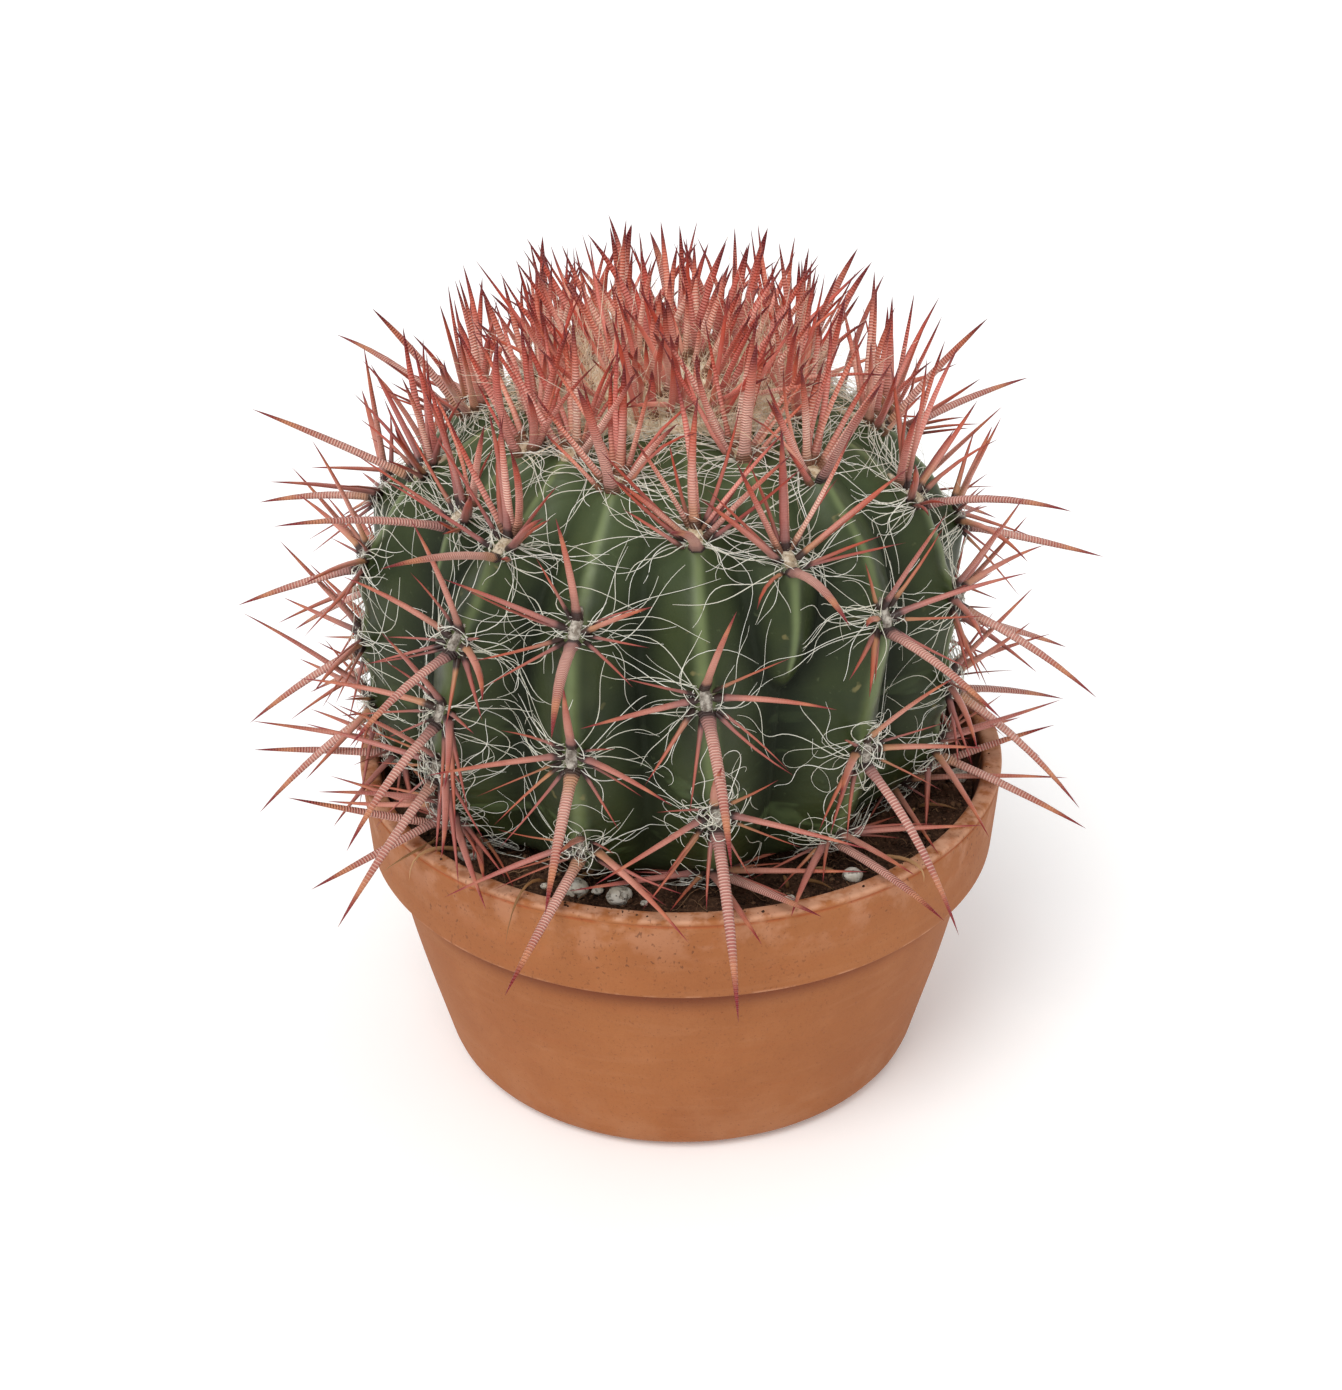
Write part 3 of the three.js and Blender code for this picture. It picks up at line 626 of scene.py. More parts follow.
def strong_spines(i, others, draw):
    """The four strong spines of areole i, and the thin one beside the lowest. Each kind has its
    size, the place of its root, how far it goes outward, upward and to the side, and its bend.
    One that meets another spine is drawn again, and left out after six tries."""
    down = areoles["down"][i]
    standing = 1 - float(smooth(20, 125, down))
    fresh = 1 - float(smooth(20, 64, down))
    old = float(smooth(120, 200, down))
    place, out, up, right = areole_frame(i)
    hand = -1 if draw() < 0.5 else 1
    kinds = [
        (DOWN, (0, -3.6), 0.90, -0.36, 0.0, 0.16 + 0.12 * old),
        (UP, (0, 3.6), 0.55, 0.80, 0.0, 0.05),
        (SIDE, (-2.9, 0.4), 0.55, 0.15, -0.80, 0.10),
        (SIDE, (2.9, 0.4), 0.55, 0.15, 0.80, 0.10),
        (RADIAL, (4.2 * hand, -3.0), 0.42, -0.62, 0.62 * hand, 0.04),
    ]
    spines = []
    for size, root, outward, upward, sideways, bend in kinds:
        young = fresh if size == DOWN else standing
        for _ in range(TRIES):
            along = out * outward
            along = along + up * (upward * (1 - 0.8 * young) + 0.16 * (draw() - 0.5))
            along = along + right * (sideways + 0.3 * (draw() - 0.5))
            along[2] += 0.62 * young - 0.10 * old
            spine = settled(Spine(
                place + right * root[0] + up * root[1],
                unit(along),
                unit(GROUNDWARD - 0.4 * up),
                size[0] * draw.spread(0.12) * (1 + 0.17 * old),
                size[1],
                bend * (1 - 0.7 * young),
                "thin" if size == RADIAL else "strong",
                1 - young,
            ))
            if is_clear(spine, others):
                spines.append(spine)
                break
    return spines


rib_spines = []
rib_draws = SeededDraws(7)
for areole_index in range(AREOLE_COUNT):
    rib_spines.extend(strong_spines(areole_index, rib_spines, rib_draws))
print("strong spines on the ribs:", len(rib_spines))

# %% The young spines of the crown, as the solid has them
def wool_rise(share):
    """A dome over shares 0 to 1 of its radius: 11 times the root of 1 - 0.92 x share squared,
    less 1.2 that its edge is sunk."""
    share = np.minimum(share, 1)
    return WOOL_RISE * np.sqrt(1 - share * share * 0.92) - 1.2


def wool_height(distance):
    """The solid's wool is a low dome over the crown."""
    return CROWN_HEIGHT + wool_rise(np.asarray(distance) / WOOL_RADIUS)


def standing_spine(azimuth, lean, along_azimuth, distance, size, bend):
    """A young spine that stands in the wool, leans away from the middle and bends that way."""
    return Spine(
        polar(azimuth, distance, wool_height(distance)) + centre_at(CROWN_HEIGHT),
        polar(along_azimuth, math.sin(lean), math.cos(lean)),
        unit(polar(azimuth, 1.0, 0.2)), *size, bend, "crown", 0.0)


# radius of the ring, how many spines, how far they lean in degrees, and their share of the length
CROWN_RINGS = ((5, 4, 6, 0.68), (14, 9, 17, 0.78), (23, 13, 31, 0.90), (32, 17, 49, 1.0))


def crown_spine_set(others, draw):
    """Four rings of spines, each clear of the spines on the ribs and of each other."""
    spines = []
    for radius, count, ring_lean, grown in CROWN_RINGS:
        for i in range(count):
            for _ in range(2 * TRIES):
                azimuth = 2 * math.pi * (i + 0.6 * draw()) / count
                lean = math.radians(ring_lean * draw.spread(0.5))
                along_azimuth = azimuth + 0.5 * (draw() - 0.5)
                distance = radius * draw.spread(0.08)
                length = CROWN[0] * grown * draw.spread(0.12)
                bend = 0.05 * (draw() - 0.4)
                spine = standing_spine(
                    azimuth, lean, along_azimuth, distance, (length, CROWN[1]), bend)
                if is_clear(spine, others + spines):
                    spines.append(spine)
                    break
    return spines


crown_spines = crown_spine_set(rib_spines, SeededDraws(19))
print("young spines of the solid crown:", len(crown_spines))

# %% [markdown]
# ## The clay pan
#
# The real pan is pressed from red clay: a plain tapering wall, a band round the rim, and a
# rounded lip with a fine groove under it. An outline turned round the axis gives all of that,
# and each corner is a short curve, because a fired edge is never sharp.

# %% Turn the pan's outline round its axis
LONGEST_STEP = 5.0


def rounded_outline(corners):
    """A closed outline whose corners are quadratic curves: corner c with rounding r becomes
    (1-t)^2 a + 2t(1-t) c + t^2 b, with a and b the points r before and after it. Straight
    stretches are cut into steps of at most 5 mm."""
    corners = np.asarray(corners, float)
    corner, rounding = corners[:, :2], corners[:, 2:]
    before = corner + rounding * unit(np.roll(corner, 1, axis=0) - corner)
    after = corner + rounding * unit(np.roll(corner, -1, axis=0) - corner)
    t = np.linspace(0, 1, 6)[None, :, None]
    curve = ((1 - t) ** 2 * before[:, None] + 2 * t * (1 - t) * corner[:, None]
             + t ** 2 * after[:, None]).reshape(-1, 2)
    step = np.linalg.norm(np.roll(curve, -1, axis=0) - curve, axis=1)
    pieces = np.maximum(np.ceil(step / LONGEST_STEP), 1).astype(int)
    index = np.repeat(np.arange(len(curve)), pieces)
    first = np.repeat(np.cumsum(pieces) - pieces, pieces)
    share = ((np.arange(len(index)) - first) / pieces[index])[:, None]
    return curve[index] * (1 - share) + np.roll(curve, -1, axis=0)[index] * share


def turned(outline, columns):
    """The outline's (radius, height) at evenly spaced azimuths: rows x columns points."""
    azimuth = 2 * np.pi * np.arange(columns) / columns
    return polar(azimuth[None, :], outline[:, :1], outline[:, 1:])


BAND_LOW = POT_HEIGHT - BAND_HEIGHT
GROOVE_HEIGHT = 124.5
PAN_COLUMNS = 208
PAN_UNEVENNESS = 0.12
# radius, height and rounding of each corner, from the drain hole outside, over the lip and back
PAN_OUTLINE = [
    (DRAIN_RADIUS, 0, 1.2), (FOOT_RADIUS, 0, 8.0), (BELLY_RADIUS, BELLY_HEIGHT, 14.0),
    (BODY_TOP_RADIUS, BAND_LOW, 0.7), (BAND_LOW_RADIUS, BAND_LOW, 1.2),
    (124.85, GROOVE_HEIGHT - 0.7, 0.5), (124.4, GROOVE_HEIGHT, 0.3),
    (124.95, GROOVE_HEIGHT + 0.7, 0.3), (RIM_RADIUS, POT_HEIGHT, 1.5),
    (RIM_INNER_RADIUS, POT_HEIGHT, 1.9), (INNER_SHOULDER_RADIUS, BAND_LOW + 3, 4.0),
    (INNER_FOOT_RADIUS, FLOOR_THICKNESS + 2, 5.0), (DRAIN_RADIUS, FLOOR_THICKNESS, 1.2),
]
pan_rows = turned(rounded_outline(PAN_OUTLINE), PAN_COLUMNS)
pan_bumps = PAN_UNEVENNESS * lattice_noise(pan_rows, 21, 2)
pan_rows = pan_rows + unit(pan_rows * (1, 1, 0)) * pan_bumps[..., None]
pan_shape = (pan_rows.reshape(-1, 3), [grid_faces(*pan_rows.shape[:2], rows_close=True)])
# the lip's outer edge is the highest row of the outer half, and the rows beyond it lie inside
row_number = np.arange(len(pan_rows))
rim_row = int(np.argmax(pan_rows[:, 0, 2] + 0.01 * (row_number < len(pan_rows) / 2)))
pan_inside = np.repeat((row_number > rim_row + 3)[:, None], PAN_COLUMNS, axis=1)
print("outline points:", len(pan_rows))

# %% [markdown]
# Terracotta is dull and a little uneven in colour. Salts from the water leave a pale pink bloom
# on the band, and the lip's top is paler, partly salt bloom and partly a painted highlight. The
# groove under the lip holds painted shade, and the band has a painted shadow under it. Fine pits
# and specks of soil sit in the surface, and the inner wall is darker in patches below the lip.
# Each of these is a mask made from height and noise.

# %% The clay's finish
def clay_finish():
    """Burnt red, with turning marks, dust at the foot, salt on the band, a darker inner wall, a
    painted highlight on the lip, and painted shade in the groove and under the band.
    """
    clay = Finish("terracotta")
    height = clay.height()
    cloud = clay.noise(60, 4)
    patch = clay.noise(17, 3)
    grain = clay.noise(1.1, 2)
    turning = clay.streaks(46, 9.0)
    foot_dust = height.between(34, 4) * patch.between(0.35, 0.65)
    salt = clay.noise(13, 4).between(0.46, 0.62)
    bloom = height.between(100, 125) * salt * 0.35
    # the lip's top is paler: partly salt bloom and partly a painted highlight on its rounded edge
    lip = height.between(125.0, 126.8) * clay.noise(6, 3).between(0.34, 0.60)
    # painted shade in the fine groove under the lip
    groove = (height - GROOVE_HEIGHT).size().between(1.0, 0.1) * clay.noise(15, 2).between(0.36, 0.5)
    band_edge = (height - BAND_LOW - 0.5).size().between(1.3, 0.2) * salt
    shade = height.between(BAND_LOW - 16.5, BAND_LOW - 4.5)
    shade = shade.power(1.7) * height.between(BAND_LOW + 0.2, BAND_LOW - 0.1)
    soiled = clay.noise(30, 2).between(0.46, 0.60) * height.between(80, 112)
    specks = clay.streaks(1.5, 0.7, 1.0).between(0.65, 0.70) * (0.15 + soiled * 0.85)
    pits = clay.noise(0.9, 1).between(0.67, 0.74)
    # the inner wall is darker in patches below the lip
    darker_inner_wall = clay.value("inside") * height.between(126.3, 122.5) * clay.noise(7, 3).between(0.25, 0.6)
    colour = clay.coats(
        clay.mix(cloud.between(0.3, 0.7), (165, 102, 57), (156, 94, 52)),
        (patch.between(0.45, 0.8) * 0.30, (178, 116, 73)),
        (grain.between(0.42, 0.72) * 0.16, (141, 82, 47)),
        (turning.between(0.52, 0.68) * 0.18, (166, 94, 50)),
        (turning.between(0.46, 0.34) * 0.10, (182, 126, 88)),
        (foot_dust * 0.45, (172, 118, 82)),
        (bloom, (203, 150, 120)),
        (lip * 0.55, (220, 172, 142)),
        (groove * 0.7, (164, 84, 44)),
        (band_edge * 0.5, (203, 146, 112)),
        (shade * 0.8, (112, 50, 26)),
        (specks * 0.6, (96, 56, 36)),
        (pits * 0.35, (116, 64, 38)),
        (darker_inner_wall, (82, 52, 38)),
    )
    waves = clay.noise(9, 3) * 1.2 * height.between(118, 124)
    relief = clay.bump(grain * 0.35 + clay.noise(4, 2) * 0.4 + waves - pits, 0.35, 0.6)
    return clay.surface(base_color=colour, roughness=0.78 - bloom * 0.08, normal=relief,
                        specular_ior_level=0.32)


add_piece("clay_pan", pan_shape, clay_finish(), replaces=["pot"],
          values={"inside": pan_inside})

# %% [markdown]
# ## The potting mix
#
# The mix is a coarse, dark, fibrous compost. A height field makes its uneven top, which rises
# a little against the plant. Crumbs, bits of bark, rootlets and pumice lie on it as small closed
# shapes, because a bump alone would look painted at this distance.

# %% The soil's surface
SOIL_COLUMNS = 400


def soil_top(x, y):
    """Height of the mix: three sizes of lumps, a mound against the plant, a dip at the wall."""
    flat = np.stack([x, y, np.zeros_like(x)], axis=-1)
    radius = np.hypot(x, y)
    from_plant = np.hypot(x - BODY_CENTRE[0], y - BODY_CENTRE[1])
    lumps = (1.5 * lattice_noise(flat, 15, 3) + 0.9 * lattice_noise(flat, 6, 4)
             + 0.45 * lattice_noise(flat, 2.4, 5))
    mound = 2.6 * (1 - smooth(72, 88, from_plant))
    return SOIL_HEIGHT + (lumps + mound) * (1 - smooth(112, 116, radius)) - 0.4


def soil_rows():
    """The block's grid: up inside the pan's wall, and then over the top to the middle."""
    wall = turned(np.array([
        (INNER_FOOT_RADIUS - 6, FLOOR_THICKNESS + 0.4), (INNER_FOOT_RADIUS - 0.8, FLOOR_THICKNESS + 5),
        (INNER_SHOULDER_RADIUS - 0.5, BAND_LOW + 3), (114.0, 112.6),
    ]), SOIL_COLUMNS)
    radius = np.concatenate([np.linspace(114.4, 66, 52), [40.0, 4.0]])
    top = turned(np.stack([radius, np.full_like(radius, SOIL_HEIGHT)], axis=1), SOIL_COLUMNS)
    top[..., 2] = soil_top(top[..., 0], top[..., 1])
    return np.concatenate([wall, top])


def soil_finish(name, pale=0.0):
    """Dark brown with paler fibres. Crumbs have a tone each, and this share of the palest."""
    soil = Finish(name)
    cloud = soil.noise(9, 4)
    fibre = soil.noise(1.3, 3, 0.7)
    colour = soil.coats(
        soil.mix(cloud.between(0.3, 0.7), (54, 35, 25), (88, 62, 46)),
        (fibre.between(0.5, 0.68) * 0.7, (126, 94, 70)),
        (fibre.between(0.45, 0.25) * 0.8, (26, 16, 11)),
    )
    if pale:
        tone = soil.value("tone")
        colour = soil.coats(
            colour,
            (tone.between(0.78, 0.98) * pale, (146, 112, 84)),
            (tone.between(0.30, 0.02) * 0.7, (28, 18, 13)),
        )
    relief = soil.bump(cloud * 0.7 + fibre * 0.6, 1.4, 0.9)
    return soil.surface(base_color=colour, roughness=0.95, normal=relief, specular_ior_level=0.2)


soil_shape = closed_grids(soil_rows()[None])
add_piece("potting_soil", soil_shape, soil_finish("potting_mix"), replaces=["soil"])


# %% Crumbs of soil and bark
def icosahedron():
    """Twelve corners at (0, 1, golden ratio) and its turns. Its faces are the triples of corners
    that are 2 apart, turned so that they look outward."""
    golden = (1 + 5 ** 0.5) / 2
    flat = np.array([(0, a, b * golden) for a in (-1, 1) for b in (-1, 1)], float)
    corners = np.concatenate([np.roll(flat, k, axis=1) for k in range(3)])
    near = np.isclose(np.linalg.norm(corners[:, None] - corners[None], axis=2), 2)
    triples = np.array([
        (i, j, k) for i in range(12) for j in range(i) for k in range(j)
        if near[i, j] and near[j, k] and near[i, k]
    ])
    a, b, c = (corners[triples[:, n]] for n in range(3))
    turned_in = np.sum(np.cross(b - a, c - a) * a, axis=1) < 0
    triples[turned_in] = triples[turned_in][:, ::-1]
    return corners / np.linalg.norm(corners[0]), triples


def random_turns(count, rng):
    """Rotation matrices from random unit quaternions."""
    w, x, y, z = unit(rng.normal(size=(count, 4))).T
    rows = [
        [1 - 2 * (y * y + z * z), 2 * (x * y - z * w), 2 * (x * z + y * w)],
        [2 * (x * y + z * w), 1 - 2 * (x * x + z * z), 2 * (y * z - x * w)],
        [2 * (x * z - y * w), 2 * (y * z + x * w), 1 - 2 * (x * x + y * y)],
    ]
    return np.moveaxis(np.array(rows), -1, 0)


def crumbs(centres, sizes, rng):
    """Icosahedra whose corners move in and out by up to a third, squashed and turned at random."""
    corners, faces = icosahedron()
    count = len(centres)
    uneven = corners[None] * rng.uniform(0.68, 1.25, (count, 12, 1))
    uneven = uneven * rng.uniform(0.5, 1.0, (count, 1, 3)) * sizes[:, None, None]
    vertices = np.einsum("nij,nkj->nki", random_turns(count, rng), uneven) + centres[:, None]
    shift = (12 * np.arange(count))[:, None, None]
    return vertices.reshape(-1, 3), [(faces[None] + shift).reshape(-1, 3)]


def soil_places(count, inner, outer, rng):
    """Random places on the mix, evenly by area."""
    radius = np.sqrt(rng.uniform(inner ** 2, outer ** 2, count))
    azimuth = rng.uniform(0, 2 * np.pi, count)
    places = polar(azimuth, radius, 0.0)
    places[:, 2] = soil_top(places[:, 0], places[:, 1])
    return places


CRUMBS = 3000
NEAR_LIP_CRUMBS, LIP_CRUMBS = 28, 54
rng = np.random.default_rng(11)
crumb_places = soil_places(CRUMBS, 66, 113, rng)
crumb_sizes = 0.55 + 1.5 * rng.uniform(0, 1, CRUMBS) ** 3
crumb_places[:, 2] += 0.2 * crumb_sizes
near_azimuth = rng.normal(-8, 14, NEAR_LIP_CRUMBS)
lip_azimuth = np.concatenate([near_azimuth, rng.uniform(0, 360, LIP_CRUMBS - NEAR_LIP_CRUMBS)])
lip_radius = rng.uniform(118.6, 123.0, LIP_CRUMBS)
lip_places = polar(np.radians(lip_azimuth), lip_radius, POT_HEIGHT + 0.1)
lip_sizes = 0.25 + 0.5 * rng.uniform(0, 1, LIP_CRUMBS) ** 2
crumb_shape = crumbs(np.concatenate([crumb_places, lip_places]),
                     np.concatenate([crumb_sizes, lip_sizes]), rng)
crumb_tone = np.repeat(rng.uniform(0, 1, CRUMBS + LIP_CRUMBS), 12)
add_piece("soil_crumbs", crumb_shape, soil_finish("crumbs_of_bark", pale=0.7),
          values={"tone": crumb_tone})


# %% Rootlets and fallen spines
def wandering_lines(start, heading, length, count, wander, rng):
    """Lines that lie about level: the heading turns by a random walk at each step."""
    turns = np.cumsum(rng.normal(0, wander, (len(start), count)), axis=1)
    angle = heading[:, None] + turns
    step = (length / count)[:, None, None]
    moves = np.stack([np.cos(angle), np.sin(angle), 0 * angle], axis=-1) * step
    return start[:, None] + np.cumsum(moves, axis=1) - moves[:, :1]


def kept_in(points, radius):
    """Moves points inward, level, until they lie within the radius."""
    away = np.hypot(points[..., 0], points[..., 1])
    points[..., :2] *= np.minimum(1, radius / away)[..., None]


ROOTLETS, ROOTLET_POINTS = 260, 8
rootlet_start = soil_places(ROOTLETS, 72, 110, rng)
rootlet_length = rng.uniform(6, 24, ROOTLETS)
rootlet_lines = wandering_lines(
    rootlet_start, rng.uniform(0, 2 * np.pi, ROOTLETS), rootlet_length, ROOTLET_POINTS, 0.35, rng)
kept_in(rootlet_lines, 113.5)
rootlet_lift = rng.uniform(0.2, 2.2, (ROOTLETS, 1))
rootlet_lines[..., 2] = (soil_top(rootlet_lines[..., 0], rootlet_lines[..., 1]) + rootlet_lift
                         + 0.5 * rng.normal(size=(ROOTLETS, ROOTLET_POINTS)))
rootlet_half = rng.uniform(0.16, 0.34, (ROOTLETS, 1)) * np.linspace(1, 0.4, ROOTLET_POINTS)
rootlet_tone = rng.uniform(0.2, 1, ROOTLETS)


def fibre_finish(name, dark, pale, roughness=0.85):
    """A dull fibre whose colour runs from dark to pale by the strand's own tone."""
    fibre = Finish(name)
    colour = fibre.mix(fibre.value("tone").between(0.0, 1.0), dark, pale)
    colour = fibre.mix(fibre.noise(2.2, 2).between(0.5, 0.8) * 0.25, colour, dark)
    return fibre.surface(base_color=colour, roughness=roughness, specular_ior_level=0.25)


add_strands("soil_rootlets", rootlet_lines, rootlet_half,
            fibre_finish("rootlet", (70, 44, 30), (152, 118, 88)),
            {"tone": rootlet_tone}, wide_way=-GROUNDWARD)


# %% Dead spines
DEAD_POINTS = 9


def bowed_lines(start, middle, end):
    """Quadratic curves from start to end that pass through the middle point half way."""
    t = np.linspace(0, 1, DEAD_POINTS)[None, :, None]
    pull = 2 * middle - 0.5 * (start + end)
    return ((1 - t) ** 2 * start[:, None] + 2 * t * (1 - t) * pull[:, None]
            + t ** 2 * end[:, None])


# start, middle and end of the four that lie over the lip
LIP_SPINES = np.array([
    [(-86.6, -56, 119), (-97, -82, 128.8), (-107, -97, 130)],
    [(-49, -99.3, 127.2), (-57, -110, 129.6), (-62.9, -117, 112)],
    [(-78, -66, 118), (-93, -83, 129.4), (-98, -95, 125)],
    [(72, -72, 119), (83, -92, 129.2), (86, -100, 126)],
])
FALLEN = 20
fallen_start = soil_places(FALLEN, 84, 108, rng) + (0, 0, 0.6)
fallen_end = fallen_start + rng.normal(0, 15, (FALLEN, 3)) * (1, 1, 0)
kept_in(fallen_end, 112)
fallen_end[:, 2] = soil_top(fallen_end[:, 0], fallen_end[:, 1]) + rng.uniform(1, 5, FALLEN)
fallen_middle = (fallen_start + fallen_end) / 2 + (0, 0, 1.5)
dead_lines = bowed_lines(
    np.concatenate([LIP_SPINES[:, 0], fallen_start]),
    np.concatenate([LIP_SPINES[:, 1], fallen_middle]),
    np.concatenate([LIP_SPINES[:, 2], fallen_end]))
dead_count = len(dead_lines)
dead_half = rng.uniform(0.7, 1.15, (dead_count, 1)) * (1.02 - np.linspace(0, 1, DEAD_POINTS) ** 2.2)
dead_tone = rng.uniform(0, 1, dead_count)
add_strands("dead_spines", dead_lines, dead_half,
            fibre_finish("dead_spine", (128, 92, 56), (200, 156, 112), 0.6),
            {"tone": dead_tone}, sides=6, depth=0.7)

# %% [markdown]
# ## Pumice
#
# The pale stones are pumice: light, angular, and full of small holes. Each is a ball on a grid of
# latitudes and longitudes whose radius is changed by two sizes of noise.

# %% Pumice stones
LATITUDES = np.linspace(-np.pi / 2 + 0.12, np.pi / 2 - 0.12, 17)[:, None]
STONE_COLUMNS = 26


def stones(centres, sizes, seed):
    """Balls of the given half sizes, squashed to 1.08 x 1 x 0.8, with lumps of a sixth."""
    longitude = 2 * np.pi * np.arange(STONE_COLUMNS)[None] / STONE_COLUMNS
    ball = polar(longitude, np.cos(LATITUDES), np.sin(LATITUDES))[None]
    size, centre = sizes[:, None, None, None], centres[:, None, None]
    spots = (ball * size + centre) / size
    lumps = 0.17 * lattice_noise(spots, 0.9, seed) + 0.07 * lattice_noise(spots, 0.34, seed + 1)
    swell = (1 + lumps)[..., None] * size
    return closed_grids(ball * swell * (1.08, 1.0, PEBBLE_SQUASH) + centre)


def pumice_finish():
    """Nearly white, with dark holes and stains of the mix."""
    pumice = Finish("pumice")
    cloud = pumice.noise(5, 3)
    holes = pumice.noise(1.9, 2).between(0.54, 0.64)
    stain = pumice.noise(3.2, 3).between(0.55, 0.72)
    colour = pumice.coats(
        pumice.mix(cloud.between(0.35, 0.65), (220, 210, 190), (248, 243, 230)),
        (holes * 0.5, (128, 108, 86)),
        (stain * 0.22, (158, 130, 100)),
    )
    relief = pumice.bump(cloud - holes, 1.1, 0.9)
    return pumice.surface(base_color=colour, roughness=0.95, normal=relief, specular_ior_level=0.2)


# azimuth, distance from the pot's axis and half size of the stones too small for the solids
GRIT = np.array([
    (-19, 94.5, 2.2), (-30, 100, 1.5), (-8, 99, 1.3), (22, 103, 1.7), (60, 97, 2.0),
    (110, 104, 1.6), (190, 103, 2.1), (226, 98, 1.5), (283, 104, 1.9),
])
grit_centres = polar(np.radians(GRIT[:, 0]), GRIT[:, 1], SOIL_HEIGHT + 1.4)
stone_centres = np.concatenate([PEBBLE_CENTRES, grit_centres])
stone_sizes = np.concatenate([PEBBLES[:, 2], GRIT[:, 2]])
add_piece("pumice_stones", stones(stone_centres, stone_sizes, 40), pumice_finish(),
          replaces=[f"pebble_{i + 1}" for i in range(len(PEBBLES))])

# %% [markdown]
# ## The green body
#
# The skin follows the plan above on a fine grid. Three things are added to it: a swelling under
# each areole, a slight notch above it, and the unevenness of a grown thing. The grid also
# carries numbers for the finish: how far a point is from its crest, and how near to an areole.

# %% The skin
ACROSS_STEPS = 28
SKIN_LENGTHS = np.linspace(0, CREST_LENGTH, 118)[:, None]
CHIN, NOTCH = 2.5, 1.1
WAIST = BODY_CENTRE + (0, 0, 180.0)


def spot(sideways, upward, half_wide, half_high, at=0.0):
    """A bell in both directions: e to the power of minus the squares of the two shares."""
    return np.exp(-((upward - at) / half_high) ** 2 - (sideways / half_wide) ** 2)


def chin(sideways, upward):
    """The swelling under an areole, whose middle is 3.5 mm below it."""
    return CHIN * spot(sideways, upward, 7.0, 8.5, -3.5)


def skin_grid():
    """Points, crest nearness and areole nearness of the skin, rows x columns."""
    length = SKIN_LENGTHS
    rib = np.repeat(np.arange(len(RIBS)), ACROSS_STEPS)[None]
    across = np.tile(2 * np.arange(ACROSS_STEPS) / ACROSS_STEPS - 1, len(RIBS))[None]
    points = body_points(rib, across, length)
    radius, height = crest_at(length)
    _, left, right, _, _ = ribs_at(height[:, 0])
    half_width = radius * (right - left)[:, rib[0]] / 2
    swell = np.zeros(points.shape[:2])
    near = np.zeros(points.shape[:2])
    for i in range(AREOLE_COUNT):
        on = rib[0] == areoles["rib"][i]
        sideways = (across * half_width)[:, on]
        upward = length - areoles["length"][i]
        swell[:, on] += chin(sideways, upward) - NOTCH * spot(sideways, upward, 6.5, 5.5, 12)
        near[:, on] += spot(sideways, upward, 6.0, 8.0)
    uneven = 0.55 * lattice_noise(points, 17, 7) + 0.14 * lattice_noise(points, 4.5, 8)
    points = points + unit(points - WAIST) * ((swell + uneven) * rib_fade(height))[..., None]
    return points, (1 - np.abs(across)) * smooth(3, 10, half_width), near


skin, crest_nearness, areole_nearness = skin_grid()


def with_foot_and_seat(skin):
    """Adds the stub in the soil below the skin, and the flat seat of the wool above it."""
    middle = centre_at(skin[..., 2])
    azimuth = np.arctan2(skin[..., 0] - middle[..., 0], middle[..., 1] - skin[..., 1])
    foot = crest_at(0.0)[0]
    low = [(STUB_RADIUS, SOIL_HEIGHT - STUB_DEPTH), (foot * 0.8, SOIL_HEIGHT - STUB_DEPTH * 0.45)]
    below = [polar(azimuth[0], radius, height) + BODY_CENTRE for radius, height in low]
    seat_height = CROWN_HEIGHT - SEAT_DEPTH
    seat = polar(azimuth[-1], CROWN_RADIUS - 3, seat_height) + centre_at(seat_height)
    return np.concatenate([below, skin, seat[None]])


def over_rows(values):
    """The skin's values with the added rows and the two end points filled in."""
    padded = np.concatenate([values[:1], values[:1], values, values[-1:]])
    return np.concatenate([padded.ravel(), [0.0, 0.0]])


body_values = {
    "crest": over_rows(crest_nearness),
    "areole": over_rows(areole_nearness),
    "from_soil": over_rows(SKIN_LENGTHS + np.zeros_like(crest_nearness)),
}


